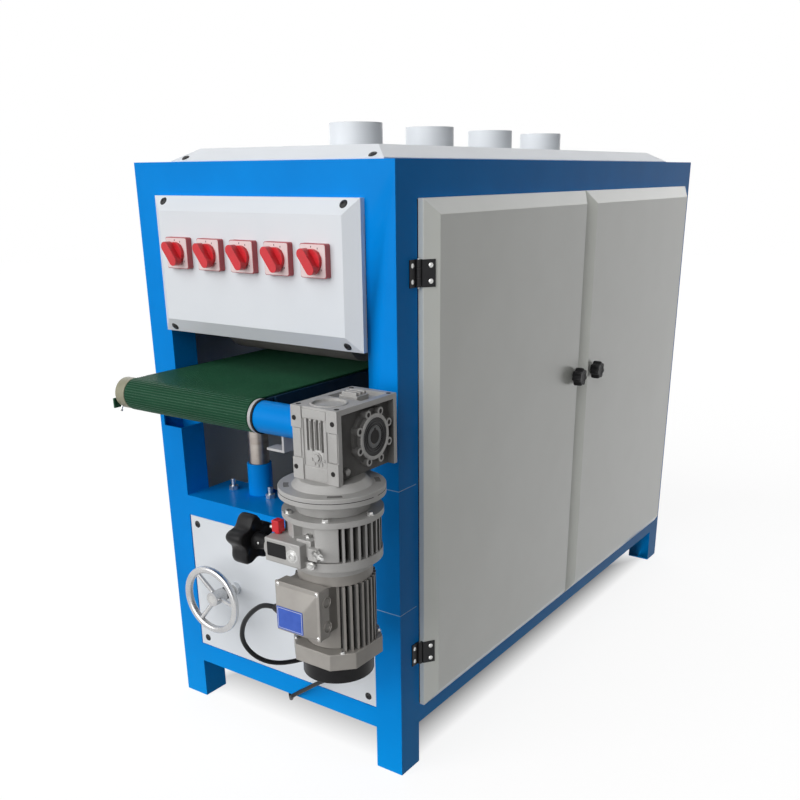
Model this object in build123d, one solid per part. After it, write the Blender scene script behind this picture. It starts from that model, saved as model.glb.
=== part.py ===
from build123d import *
import math
import os

# Millimetres. While it is built, x = 0 is the cabinet's middle, y = 0 its front face and z = 0 the floor.

# Running fits
shaft_clearance = 0.05
face_clearance = 0.3

# Cabinet frame
cabinet_width = 700.0
cabinet_depth = 1590.0
cabinet_height = 1315.0
post_size = 70.0
post_wall = 4.0
foot_thickness = 6.0
rail_wall = 3.0
top_rail_height = 70.0
floor_gap = 105.0
bottom_rail_size = 50.0
mid_rail_underside = 510.0
mid_rail_height = 50.0
lift_beam_depth = 80.0
notch_wall = 13.0
notch_below_axis = 111.0
notch_above_axis = 12.0
tab_width = 45.0
tab_height = 28.0
tab_thickness = 4.0
stop_bar_width = 50.0
stop_bar_thickness = 8.0

# Sheet metal pans and panels
sheet = 2.0
pan_depth = 32.0
pan_lip = 12.0
pan_bevel = 30.0
panel_edge_gap = 1.0
switch_panel_above_axis = 123.0
switch_panel_overlap = 3.0
lower_panel_inset = 2.0
lower_panel_thickness = 3.0
fixed_pan_overlap = 20.0
seam_gap = 4.0
screw_radius = 6.6
screw_clearance = 0.4
screw_proud = 2.0
screw_edge_inset = 11.0
screw_side_inset = 34.0
lower_screw_radius = 6.6
lower_screw_inset = 22.0

# Top cover and dust ports
cover_side_margin = 62.0
cover_end_margin = 52.0
cover_lip = 3.0
cover_bevel = 46.0
cover_depth = 28.0
port_count = 4
port_pitch = 301.0
port_radius = 60.0
port_wall = 2.5
port_height = 53.0

# Rotary switches
switch_count = 5
switch_pitch = 94.0
switch_below_panel_top = 114.0
switch_plate_size = 64.0
switch_plate_thickness = 14.0
switch_plate_rounding = 4.0
switch_neck_radius = 12.0
switch_body_size = 50.0
switch_body_depth = 45.0
switch_spindle_radius = 4.0
switch_spindle_depth = 40.0
switch_disc_radius = 22.5
switch_disc_thickness = 8.0
switch_blade_length = 55.0
switch_blade_width = 20.0
switch_blade_depth = 16.0
switch_blade_tilt = 36.0

# Doors, hinges and door knobs
door_gap = 0.5
door_post_gap = 2.0
door_rail_overlap = 1.5
hinge_height = 52.0
hinge_inset = 136.5
hinge_setback = 6.0
hinge_knuckle_radius = 5.0
hinge_pin_radius = 2.0
hinge_leaf_thickness = 2.5
hinge_frame_leaf_width = 24.0
hinge_door_leaf_width = 25.0
knob_height = 797.0
knob_from_seam = 55.0
knob_spindle_radius = 6.0
knob_hub_radius = 9.0
knob_standoff = 10.0
knob_thickness = 16.0
knob_core_radius = 15.0
knob_lobe_radius = 5.5
knob_lobe_orbit = 14.0
knob_lobe_count = 6
latch_length = 45.0
latch_width = 16.0
latch_thickness = 5.0
latch_gap = 1.0
retaining_ring_radius = 10.0
retaining_ring_thickness = 2.0

# Lifting gear
lift_x = -140.0
lift_shaft_height = 347.0
lift_shaft_radius = 10.0
column_radius = 25.0
column_bore_radius = 15.0
lift_down = 60.0
lift_up = 15.0
lift_margin = 10.5
column_nut_length = 22.0
sleeve_wall = 4.5
sleeve_height = 80.0
beam_bore_margin = 1.5
lift_screw_radius = 10.0
lift_screw_end_gap = 18.0
screw_collar_radius = 16.0
screw_collar_height = 9.5
bracket_width = 80.0
bracket_thickness = 12.0
bracket_leg_below_shaft = 47.0
bolt_spacing = 122.0
bolt_side_offset = -17.0
bolt_forward = 15.0
bolt_stud_radius = 6.0
bolt_stud_height = 28.0
bolt_nut_radius = 12.0
bolt_nut_height = 11.0
flange_bearing_radius = 15.0
flange_bearing_depth = 10.0
handwheel_radius = 76.0
handwheel_rim_radius = 8.0
handwheel_rim_rounding = 6.0
handwheel_plane = -80.0
handwheel_hub_radius = 17.0
handwheel_hub_depth = 35.0
handwheel_spoke_radius = 5.5
handwheel_spoke_angles = (125.0, 235.0, 0.0)

# Mitre gears: the heel is as far from the crossing of the axes as its own pitch radius
mitre_teeth = 16
mitre_heel = 24.0
mitre_toe = 15.5
mitre_root_depth = 4.25
mitre_tip_height = 3.66
mitre_tooth_shares = (0.62, 0.427, 0.23)
mitre_hub_radius = 18.0
mitre_hub_length = 9.5

# Conveyor table
belt_width = 365.0
belt_thickness = 3.0
belt_clearance = 0.3
conveyor_axis_height = 838.0
conveyor_overhang = 132.0
roller_radius = 30.7
journal_radius = 12.5
bed_side_gap = 4.0
side_plate_thickness = 6.0
side_plate_below_axis = 48.0
side_plate_below_belt = 2.0
side_plate_overhang = 90.0
belt_edge_gap = 6.0
slider_thickness = 6.0
slider_drop = 0.5
slider_end_gap = 26.0
bed_tube_count = 6
bed_tube_margin = 10.0
bed_tube_width = 40.0
bed_tube_height = 20.0
column_plate_thickness = 12.0
column_plate_depth = 120.0
end_housing_radius = 34.0
end_housing_length = 28.0
end_housing_gap = 2.0
end_collar_radius = 35.0
end_collar_length = 12.0
bearing_lug_height = 32.0
bearing_lug_reach = 40.0

# Drive unit
drive_tube_length = 171.0
drive_tube_radius = 32.5
drive_tube_wall = 5.0
tube_bracket_offset = 59.0
tube_bracket_drop = 30.0
tube_bracket_length = 46.0
tube_bracket_width = 30.0
tube_bracket_thickness = 5.0
gearbox_width = 105.0
gearbox_front = 109.0
gearbox_back = 70.0
gearbox_below = 67.0
gearbox_above = 69.0
gearbox_face_plate = 10.0
gearbox_side_recess = 15.0
gearbox_pad_width = 24.0
gearbox_pad_length = 40.0
gearbox_pad_height = 3.0
gearbox_slot_count = 4
gearbox_slot_width = 5.5
gearbox_slot_spacing = 11.0
gearbox_slot_length = 58.0
gearbox_slot_depth = 10.0
gearbox_slot_top_margin = 22.0
gearbox_top_recess_radius = 30.0
gearbox_top_recess_depth = 3.0
gearbox_top_pocket_margin = 13.0
gearbox_top_pocket_depth = 8.0
cover_flange_radius = 43.0
cover_lobe_count = 8
cover_lobe_radius = 8.0
cover_spigot_gap = 2.5
gear_module = 3.2
gear_root_depth = 3.6
gear_tip_height = 2.6
worm_pitch_radius = 16.0
worm_tooth_shares = (0.644, 0.389, 0.2)
worm_starts = 2
worm_length = 84.0
worm_side_gap = 2.4
worm_journal_radius = 10.0
worm_journal_length = 15.0
worm_shaft_radius = 12.0
wheel_teeth = 30
wheel_tooth_shares = (0.7, 0.39, 0.2)
wheel_width = 26.0
wheel_tip_gap = 1.4
wheel_side_gap = 9.5
wheel_shaft_radius = 20.0
drive_flange_radius = 100.0
drive_flange_thickness = 19.0
drive_flange_cone_height = 13.0
drive_flange_cone_radius = 62.0
drive_flange_neck_radius = 70.0
drive_flange_neck_height = 27.0
variator_radius = 67.0
variator_wall = 7.0
variator_disc_radius = 95.0
variator_disc_thickness = 11.0
variator_fin_radius = 90.0
variator_fin_height = 68.0
variator_lip_radius = 92.0
variator_lip_height = 17.0
variator_step_radius = 72.0
variator_step_height = 18.0
variator_floor = 6.0
variator_shaft_gap = 2.0
friction_disc_radius = 36.0
friction_disc_thickness = 12.0
control_box_width = 85.0
control_box_height = 46.0
control_box_front = 106.0
control_box_back = 42.0
control_box_offset = -36.0
control_box_drop = 22.0
control_knob_forward = 74.0
control_knob_drop = 5.0
control_knob_radius = 44.0
control_knob_lobe_radius = 13.0
control_knob_lobe_orbit = 38.0
control_knob_lobe_count = 5
control_knob_thickness = 40.0
control_knob_hub_radius = 16.0
control_knob_hub_length = 48.0
control_spindle_radius = 6.0
control_spindle_depth = 40.0
variator_bare_half_angle = 48.0
fin_thickness = 5.0
fin_count = 36
fin_root = 1.0
motor_flange_radius = 72.0
motor_flange_height = 19.0
motor_length = 134.0
motor_radius = 60.0
motor_bore_radius = 45.5
motor_fin_radius = 77.0
motor_pad_half_angle = 50.0
motor_shaft_radius = 12.0
rotor_air_gap = 0.8
rotor_end_gap = 17.0
terminal_width = 104.0
terminal_height = 100.0
terminal_depth = 42.0
terminal_lid_depth = 13.0
terminal_lid_bevel = 20.0
terminal_wall = 8.0
terminal_overlap = 5.0
terminal_offset = -8.5
terminal_pad_height = 12.0
shield_size = 156.0
shield_chamfer = 36.0
shield_height = 34.0
shield_plate = 14.0
shield_pocket_radius = 60.0
fan_cover_radius = 70.0
fan_cover_height = 37.0
fan_cover_wall = 2.0
fan_slot_count = 12
fan_slot_inner = 26.0
fan_slot_length = 32.0
fan_slot_width = 7.0
fan_radius = 60.0
fan_hub_radius = 18.0
fan_blade_count = 7
fan_blade_thickness = 3.0
fan_floor_gap = 8.0
fan_top_gap = 6.0

# Sanding heads
sanding_count = 4
first_roller_inset = 225.0
working_gap = 19.0
drum_radius = 70.0
drum_wall = 10.0
drum_end_thickness = 15.0
drum_hole_radius = 12.0
drum_hole_count = 4
drum_overhang = 4.0
drum_shaft_radius = 12.0
beam_size = 40.0
left_beam_from_frame = 10.0
right_beam_from_drum = 13.0
beam_above_axis = 39.0
cross_member_gap = 5.0
cross_member_depth = 50.0
cross_member_height = 50.0
bearing_block_width = 30.0
bearing_block_depth = 60.0
bearing_block_below_axis = 26.0
head_motor_radius = 62.0
head_motor_wall = 12.0
head_motor_side_room = 15.0
head_flange_thickness = 7.0
head_flange_depth = 90.0
head_flange_below_axis = 31.0
head_rotor_gap = 1.0
head_rotor_inset = 25.0

# Motor cord, its gland and the grommet that it ends in
cord_radius = 5.0
cord_bend_share = 0.45
gland_nut_radius = 12.0
gland_nut_length = 9.0
gland_sleeve_radius = 10.0
gland_sleeve_length = 1.0
gland_tip_radius = 7.0
gland_length = 20.0
gland_from_back = 16.0
gland_from_bottom = 33.0
grommet_x = -17.0
grommet_inset = 38.0
grommet_neck_radius = 8.0
grommet_flange_radius = 11.0
grommet_flange_thickness = 4.0
grommet_neck_height = 6.0
# Points of the cord, first from the gland's tip and then from the grommet's hole
cord_upper_points = (
    (0.0, 0.0, 0.0),
    (-26.0, 0.0, 0.0),
    (-62.0, 3.0, -25.0),
    (-98.0, 11.0, -63.0),
    (-120.0, 23.0, -106.0),
    (-126.0, 38.0, -139.0),
    (-117.0, 53.0, -165.0),
    (-103.0, 71.0, -182.0),
    (-88.0, 93.0, -192.0),
    (-74.0, 119.0, -196.0),
    (-59.0, 146.0, -196.0),
    (-40.0, 171.0, -199.0),
    (-19.0, 192.0, -208.0),
    (-2.0, 207.0, -225.0),
    (5.0, 218.0, -250.0),
    (-2.0, 224.0, -267.0),
    (-22.0, 229.0, -278.0),
)
cord_lower_points = (
    (227.0, -90.0, 127.0),
    (197.0, -86.0, 115.0),
    (166.0, -78.0, 93.0),
    (127.5, -66.0, 63.0),
    (92.6, -55.0, 35.6),
    (63.4, -47.0, 13.0),
    (47.0, -46.0, 0.0),
    (27.0, -26.0, -24.5),
    (13.0, -12.5, -28.5),
    (0.0, 0.0, -17.0),
    (0.0, 0.0, 4.0),
)

# Planes and axes that several pieces share
half_width = cabinet_width / 2
inner_half = half_width - post_size
front_inner = post_size
rear_inner = cabinet_depth - post_size
post_depths = ((0, front_inner), (rear_inner, cabinet_depth))
middle_y = cabinet_depth / 2
top_rail_bottom = cabinet_height - top_rail_height
bottom_rail_top = floor_gap + bottom_rail_size
mid_rail_top = mid_rail_underside + mid_rail_height
mirror_plane = Plane(origin=(0, middle_y, 0), z_dir=(0, 1, 0))

switch_panel_bottom = conveyor_axis_height + switch_panel_above_axis
switch_panel_top = top_rail_bottom + switch_panel_overlap
switch_height = switch_panel_top - switch_below_panel_top
switch_places = [switch_pitch * (i - (switch_count - 1) / 2) for i in range(switch_count)]
panel_half_width = inner_half - panel_edge_gap
lower_panel_back = lower_panel_inset + lower_panel_thickness
switch_front = sheet - pan_depth
switch_back = switch_front + switch_body_depth

door_base = half_width + door_gap
door_face = door_base + pan_depth
door_edge = front_inner + door_post_gap
door_far_edge = middle_y - seam_gap / 2
door_bottom = bottom_rail_top - door_rail_overlap
door_top = top_rail_bottom + door_rail_overlap
hinge_axis = (half_width + hinge_knuckle_radius + face_clearance, door_edge - hinge_setback)
hinge_heights = (door_bottom + hinge_inset, door_top - hinge_inset)
knob_y = middle_y - knob_from_seam

cover_half_width = half_width - cover_side_margin
cover_top = cabinet_height + cover_depth
port_places = [middle_y + port_pitch * (i - (port_count - 1) / 2) for i in range(port_count)]

lift_inset = front_inner + lift_beam_depth / 2
lift_rear = cabinet_depth - lift_inset
lift_apex = (lift_x, lift_inset, lift_shaft_height)

belt_left = -inner_half + bed_side_gap + side_plate_thickness + belt_edge_gap
belt_right = belt_left + belt_width
belt_inner_radius = roller_radius + belt_clearance
belt_outer_radius = belt_inner_radius + belt_thickness
front_axis = (-conveyor_overhang, conveyor_axis_height)
rear_axis_y = cabinet_depth + conveyor_overhang
left_plate = (belt_left - belt_edge_gap - side_plate_thickness, belt_left - belt_edge_gap)
right_plate = (belt_right + belt_edge_gap, belt_right + belt_edge_gap + side_plate_thickness)
side_plate_bottom = conveyor_axis_height - side_plate_below_axis
column_top = side_plate_bottom - column_plate_thickness
column_bottom = mid_rail_underside + screw_collar_height + lift_down + lift_margin
lift_screw_top = column_top - lift_down - lift_screw_end_gap

tube_left = belt_right + end_housing_gap + end_collar_length
gearbox_left = tube_left + drive_tube_length
gearbox_right = gearbox_left + gearbox_width
gearbox_core_right = gearbox_right - gearbox_side_recess
gearbox_bottom = conveyor_axis_height - gearbox_below
gearbox_top = conveyor_axis_height + gearbox_above
gearbox_front_y = front_axis[0] - gearbox_front
gearbox_back_y = front_axis[0] + gearbox_back
wheel_middle = gearbox_left + gearbox_width / 2
wheel_pitch_radius = gear_module * wheel_teeth / 2
wheel_radii = [wheel_pitch_radius + height for height in (-gear_root_depth, 0, gear_tip_height)]
worm_radii = [worm_pitch_radius + height for height in (-gear_root_depth, 0, gear_tip_height)]
worm_lead = math.pi * gear_module * worm_starts
wheel_cavity_radius = wheel_radii[2] + wheel_tip_gap
worm_cavity_radius = worm_radii[2] + worm_side_gap
mitre_radii = (mitre_heel - mitre_root_depth, mitre_heel, mitre_heel + mitre_tip_height)
unit_axis = (wheel_middle, front_axis[0] - wheel_pitch_radius - worm_pitch_radius)
worm_top = conveyor_axis_height + worm_length / 2
worm_bottom = conveyor_axis_height - worm_length / 2

flange_disc_top = gearbox_bottom - drive_flange_cone_height
flange_disc_bottom = flange_disc_top - drive_flange_thickness
variator_top = flange_disc_bottom - drive_flange_neck_height
fins_top = variator_top - variator_disc_thickness
fins_bottom = fins_top - variator_fin_height
step_top = fins_bottom - variator_lip_height
variator_bottom = step_top - variator_step_height
variator_middle = (fins_top + fins_bottom) / 2
motor_top = variator_bottom - motor_flange_height
motor_bottom = motor_top - motor_length
shield_bottom = motor_bottom - shield_height
fan_cover_bottom = shield_bottom - fan_cover_height

control_left = unit_axis[0] + control_box_offset - control_box_width / 2
control_x = (control_left, control_left + control_box_width)
control_y = (unit_axis[1] - control_box_front, unit_axis[1] - control_box_back)
control_middle = variator_middle - control_box_drop
control_z = (control_middle - control_box_height / 2, control_middle + control_box_height / 2)
control_knob_axis = (unit_axis[1] - control_knob_forward, control_middle - control_knob_drop)
control_knob_back = control_x[0] - control_knob_hub_length

terminal_back = unit_axis[1] - motor_radius - terminal_pad_height
terminal_front = terminal_back - terminal_depth
terminal_middle = unit_axis[0] + terminal_offset
terminal_x = (terminal_middle - terminal_width / 2, terminal_middle + terminal_width / 2)
terminal_z = (motor_top + terminal_overlap - terminal_height, motor_top + terminal_overlap)

roller_axis_z = conveyor_axis_height + belt_outer_radius + working_gap + drum_radius
roller_step = (cabinet_depth - 2 * first_roller_inset) / (sanding_count - 1)
roller_places = [first_roller_inset + roller_step * i for i in range(sanding_count)]
beam_bottom = roller_axis_z + beam_above_axis
drum_x = (belt_left - drum_overhang, belt_right + drum_overhang)
left_beam = (-half_width + left_beam_from_frame, -half_width + left_beam_from_frame + beam_size)
right_beam = (drum_x[1] + right_beam_from_drum, drum_x[1] + right_beam_from_drum + beam_size)
head_motor_left = right_beam[1] + head_flange_thickness
head_motor_x = (head_motor_left, half_width - head_motor_side_room)

gland_height = terminal_z[0] + gland_from_bottom
gland_tip = Vector(terminal_x[0] - gland_length, terminal_back - gland_from_back, gland_height)
cord_end = (grommet_x, grommet_inset)
grommet_hole = Vector(*cord_end, floor_gap)
cord_route = [tuple(gland_tip + Vector(*point)) for point in cord_upper_points]
cord_route += [tuple(grommet_hole + Vector(*point)) for point in cord_lower_points]


# Shapes that many pieces use

def block(x_range, y_range, z_range):
    ranges = (x_range, y_range, z_range)
    middle = [(low + high) / 2 for low, high in ranges]
    size = [high - low for low, high in ranges]
    return Pos(*middle) * Box(*size)


def rod_x(centre, radius, x_range):
    low, high = x_range
    return Pos((low + high) / 2, *centre) * Rot(0, 90, 0) * Cylinder(radius, high - low)


def rod_y(centre, radius, y_range):
    low, high = y_range
    return Pos(centre[0], (low + high) / 2, centre[1]) * Rot(90, 0, 0) * Cylinder(radius, high - low)


def rod_z(centre, radius, z_range):
    low, high = z_range
    return Pos(*centre, (low + high) / 2) * Cylinder(radius, high - low)


def cone_z(centre, bottom_radius, top_radius, z_range):
    low, high = z_range
    return Pos(*centre, (low + high) / 2) * Cone(bottom_radius, top_radius, high - low)


def strut(start, end, radius):
    path = Vector(*end) - Vector(*start)
    plane = Plane(origin=start, z_dir=path)
    return extrude(plane * Circle(radius), path.length)


def spread(span, inset):
    low, high = span
    return (low + inset, high - inset)


def box_tube_x(x_range, y_range, z_range):
    bore = block(x_range, spread(y_range, rail_wall), spread(z_range, rail_wall))
    return block(x_range, y_range, z_range) - bore


def box_tube_y(x_range, y_range, z_range):
    bore = block(spread(x_range, rail_wall), y_range, spread(z_range, rail_wall))
    return block(x_range, y_range, z_range) - bore


def mirrored(shapes):
    return [mirror(shape, about=mirror_plane) for shape in shapes]


def rim_points(count, radius, start=0.0):
    angles = [math.radians(start + 360 * i / count) for i in range(count)]
    return [(radius * math.cos(a), radius * math.sin(a)) for a in angles]


def toothed_face(count, radii, shares, phase, scale=1.0):
    half_angles = [share * 180 / count for share in shares]
    corners = [(r, -a) for r, a in zip(radii, half_angles)]
    corners += [(r, a) for r, a in zip(reversed(radii), reversed(half_angles))]
    points = []
    for tooth in range(count):
        middle = phase + 360 * tooth / count
        for radius, offset in corners:
            angle = math.radians(middle + offset)
            points.append((scale * radius * math.cos(angle), scale * radius * math.sin(angle)))
    return make_face(Polyline(*points, close=True)).face()


# An open-backed sheet pan on the XY plane, with a lip, a bevel all round and its face towards +Z.
def pan(width, height, lip=pan_lip, bevel=pan_bevel, depth=pan_depth):
    slope = (depth - lip) / bevel
    slant = math.hypot(1, slope)
    inner_lip = lip + sheet * slope - sheet * slant
    inner_inset = (depth - sheet - lip + sheet * slant) / slope
    outer = tapered_slab(width, height, lip, bevel, depth)
    inner_width = width - 2 * sheet
    inner_height = height - 2 * sheet
    return outer - tapered_slab(inner_width, inner_height, inner_lip, inner_inset - sheet, depth - sheet)


def tapered_slab(width, height, lip, bevel, depth):
    slab = extrude(Rectangle(width, height), lip)
    foot = Plane.XY.offset(lip) * Rectangle(width, height)
    crown = Plane.XY.offset(depth) * Rectangle(width - 2 * bevel, height - 2 * bevel)
    return slab + loft([foot, crown], ruled=True)


def screw_spots(width, height, on_ends):
    along, across = screw_side_inset, screw_edge_inset
    if not on_ends:
        along, across = across, along
    return [(x * (width / 2 - along), y * (height / 2 - across)) for x in (-1, 1) for y in (-1, 1)]


def screwed_pan(width, height, on_ends=True, lip=pan_lip, bevel=pan_bevel, depth=pan_depth):
    body = pan(width, height, lip, bevel, depth)
    for spot in screw_spots(width, height, on_ends):
        body -= Pos(*spot, depth / 2) * Cylinder(screw_radius + screw_clearance, 2 * depth)
    return body


def pan_screws(width, height, on_ends=True, lip=pan_lip, bevel=pan_bevel, depth=pan_depth):
    rise = lip + screw_edge_inset * (depth - lip) / bevel + screw_proud
    spots = screw_spots(width, height, on_ends)
    return [Pos(*spot, rise / 2) * Cylinder(screw_radius, rise) for spot in spots]


# Places on the cabinet's sides, each with its local Y up and local Z out of the cabinet

def on_front(x, y, z):
    return Plane(origin=(x, y, z), x_dir=(1, 0, 0), z_dir=(0, -1, 0)).location


def on_rear(x, y, z):
    return Plane(origin=(x, y, z), x_dir=(-1, 0, 0), z_dir=(0, 1, 0)).location


def on_right(x, y, z):
    return Plane(origin=(x, y, z), x_dir=(0, 1, 0), z_dir=(1, 0, 0)).location


def on_left(x, y, z):
    return Plane(origin=(x, y, z), x_dir=(0, -1, 0), z_dir=(-1, 0, 0)).location


def span_middle(span):
    return (span[0] + span[1]) / 2


def span_length(span):
    return span[1] - span[0]


# Fixed pans: their place on the cabinet, width, height and which bevels the screws are on
switch_panel_z = (switch_panel_bottom, switch_panel_top)
side_pan_z = (bottom_rail_top - fixed_pan_overlap, top_rail_bottom + fixed_pan_overlap)
side_pan_y = (front_inner - fixed_pan_overlap, middle_y - seam_gap / 2)
rear_pan_width = 2 * (inner_half + fixed_pan_overlap)
rear_upper_z = (switch_panel_bottom, top_rail_bottom + fixed_pan_overlap)
rear_lower_z = (bottom_rail_top - fixed_pan_overlap, mid_rail_underside + fixed_pan_overlap)


def switch_panel_place():
    return on_front(0, 0, span_middle(switch_panel_z))


def side_pan_places():
    front = span_middle(side_pan_y)
    return [on_left(-half_width, y, span_middle(side_pan_z)) for y in (front, cabinet_depth - front)]


def rear_pan_places():
    heights = (rear_upper_z, rear_lower_z)
    return [(on_rear(0, cabinet_depth, span_middle(z)), span_length(z)) for z in heights]


# Welded frame

def hollow_post(x_range, y_range):
    bore_z = (foot_thickness, cabinet_height - post_wall)
    post = block(x_range, y_range, (foot_thickness, cabinet_height))
    return post - block(spread(x_range, post_wall), spread(y_range, post_wall), bore_z)


def make_left_posts():
    notch_z = (conveyor_axis_height - notch_below_axis, conveyor_axis_height + notch_above_axis)
    notch_x = (-half_width + notch_wall, -inner_half)
    posts = [hollow_post((-half_width, -inner_half), y_range) for y_range in post_depths]
    return [post - block(notch_x, y_range, notch_z) for post, y_range in zip(posts, post_depths)]


def make_frame_posts():
    pieces = [hollow_post((inner_half, half_width), y_range) for y_range in post_depths]
    for y_range in post_depths:
        for x_range in ((-half_width, -inner_half), (inner_half, half_width)):
            pieces.append(block(x_range, y_range, (0, foot_thickness)))
    upper_tabs = (top_rail_bottom - tab_height, switch_panel_bottom)
    lower_tabs = (mid_rail_underside - tab_height, bottom_rail_top)
    for front, bottoms in ((0, upper_tabs), (lower_panel_back, lower_tabs)):
        for bottom in bottoms:
            for x_range in ((-inner_half, tab_width - inner_half), (inner_half - tab_width, inner_half)):
                pieces.append(block(x_range, (front, front + tab_thickness), (bottom, bottom + tab_height)))
    bar_y = (middle_y - stop_bar_width / 2, middle_y + stop_bar_width / 2)
    for face in (-half_width, half_width - stop_bar_thickness):
        bar_x = (face, face + stop_bar_thickness)
        pieces.append(block(bar_x, bar_y, (bottom_rail_top, top_rail_bottom)))
    return pieces


def make_frame_rails():
    between_posts = (-inner_half, inner_half)
    along_sides = (front_inner, rear_inner)
    top_z = (top_rail_bottom, cabinet_height)
    bottom_z = (floor_gap, bottom_rail_top)
    mid_z = (mid_rail_underside, mid_rail_top)
    lift_beam_y = (front_inner, front_inner + lift_beam_depth)
    front_bottom = box_tube_x(between_posts, (0, bottom_rail_size), bottom_z)
    beam = box_tube_x(between_posts, lift_beam_y, mid_z)
    beam -= rod_z((lift_x, lift_inset), column_radius + beam_bore_margin, mid_z)
    across = [
        box_tube_x(between_posts, (0, front_inner), top_z),
        box_tube_x(between_posts, (0, front_inner), mid_z),
        beam,
    ]
    pieces = across + mirrored(across + [front_bottom])
    hole_radius = grommet_neck_radius + shaft_clearance
    pieces.append(front_bottom - rod_z(cord_end, hole_radius, (floor_gap, floor_gap + rail_wall)))
    for side in (-1, 1):
        pieces.append(box_tube_y(sorted((side * inner_half, side * half_width)), along_sides, top_z))
        bottom_x = sorted((side * (half_width - bottom_rail_size), side * half_width))
        pieces.append(box_tube_y(bottom_x, along_sides, bottom_z))
    return pieces


# Panels, cover and ports

def make_switch_panel():
    body = screwed_pan(2 * panel_half_width, span_length(switch_panel_z))
    panel = switch_panel_place() * body
    for x in switch_places:
        hole = switch_neck_radius + screw_clearance
        panel -= rod_y((x, switch_height), hole, (-pan_depth, 0))
    return [panel]


def lower_screw_places():
    z_low = bottom_rail_top + lower_screw_inset
    z_high = mid_rail_underside - lower_screw_inset
    x_out = panel_half_width - lower_screw_inset
    return [(x, z) for x in (-x_out, x_out) for z in (z_low, z_high)]


def make_lower_front_panel():
    z_range = (bottom_rail_top + panel_edge_gap, mid_rail_underside - panel_edge_gap)
    y_range = (lower_panel_inset, lower_panel_back)
    panel = block((-panel_half_width, panel_half_width), y_range, z_range)
    panel -= rod_y((lift_x, lift_shaft_height), lift_shaft_radius + panel_edge_gap, y_range)
    for spot in lower_screw_places():
        panel -= rod_y(spot, lower_screw_radius + screw_clearance, y_range)
    return [panel]


def make_left_side_panels():
    body = screwed_pan(span_length(side_pan_y), span_length(side_pan_z))
    return [place * body for place in side_pan_places()]


def make_rear_panels():
    pieces = []
    for place, height in rear_pan_places():
        pieces.append(place * screwed_pan(rear_pan_width, height, on_ends=False))
    return pieces


def cover_sizes():
    return (2 * cover_half_width, cabinet_depth - 2 * cover_end_margin)


def make_top_cover():
    cover = screwed_pan(*cover_sizes(), lip=cover_lip, bevel=cover_bevel, depth=cover_depth)
    cover = Pos(0, middle_y, cabinet_height) * cover
    for y in port_places:
        cover -= rod_z((0, y), port_radius - port_wall, (cabinet_height, cover_top))
    return [cover]


def make_dust_ports():
    z_range = (cover_top, cover_top + port_height)
    pieces = []
    for y in port_places:
        pieces.append(rod_z((0, y), port_radius, z_range) - rod_z((0, y), port_radius - port_wall, z_range))
    return pieces


def make_panel_screws():
    groups = [(switch_panel_place(), pan_screws(2 * panel_half_width, span_length(switch_panel_z)))]
    for place in side_pan_places():
        groups.append((place, pan_screws(span_length(side_pan_y), span_length(side_pan_z))))
    for place, height in rear_pan_places():
        groups.append((place, pan_screws(rear_pan_width, height, on_ends=False)))
    cover_screws = pan_screws(*cover_sizes(), lip=cover_lip, bevel=cover_bevel, depth=cover_depth)
    groups.append((Pos(0, middle_y, cabinet_height), cover_screws))
    pieces = [place * screw for place, screws in groups for screw in screws]
    for spot in lower_screw_places():
        pieces.append(rod_y(spot, lower_screw_radius, (lower_panel_inset - screw_proud, lower_panel_back)))
    return pieces


# Rotary switches

def make_rotary_switches():
    plate_y = (-pan_depth - switch_plate_thickness, -pan_depth)
    body_y = (switch_front, switch_back)
    pieces = []
    for x in switch_places:
        plate_x = (x - switch_plate_size / 2, x + switch_plate_size / 2)
        plate_z = (switch_height - switch_plate_size / 2, switch_height + switch_plate_size / 2)
        body_x = (x - switch_body_size / 2, x + switch_body_size / 2)
        body_z = (switch_height - switch_body_size / 2, switch_height + switch_body_size / 2)
        plate = block(plate_x, plate_y, plate_z)
        plate = fillet(plate.edges().filter_by(Axis.Y), switch_plate_rounding)
        switch = plate + rod_y((x, switch_height), switch_neck_radius, (plate_y[1], body_y[0]))
        switch += block(body_x, body_y, body_z)
        bore_y = (plate_y[0], plate_y[0] + switch_spindle_depth + face_clearance)
        pieces.append(switch - rod_y((x, switch_height), switch_spindle_radius + shaft_clearance, bore_y))
    return pieces


def make_switch_knob(x):
    back = -pan_depth - switch_plate_thickness - face_clearance
    disc_front = back - switch_disc_thickness
    axis = (x, switch_height)
    blade = SlotOverall(switch_blade_length, switch_blade_width)
    blade = extrude(blade, switch_blade_depth)
    blade = on_front(x, disc_front, switch_height) * Rot(0, 0, 90 + switch_blade_tilt) * blade
    knob = rod_y(axis, switch_disc_radius, (disc_front, back)) + blade
    return [knob + rod_y(axis, switch_spindle_radius, (back, back + switch_spindle_depth))]


# Doors, hinges and door knobs

def make_front_door():
    door_y = (door_edge, door_far_edge)
    door_z = (door_bottom, door_top)
    place = on_right(door_base, span_middle(door_y), span_middle(door_z))
    door = place * pan(span_length(door_y), span_length(door_z))
    hole = knob_spindle_radius + shaft_clearance
    return [door - rod_x((knob_y, knob_height), hole, (door_base, door_face))]


def knuckle_spans(height):
    third = hinge_height / 3
    low = height - hinge_height / 2
    inner = (low + third, low + 2 * third)
    outers = [(low, low + third - face_clearance), (low + 2 * third + face_clearance, low + hinge_height)]
    return inner, outers


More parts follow.
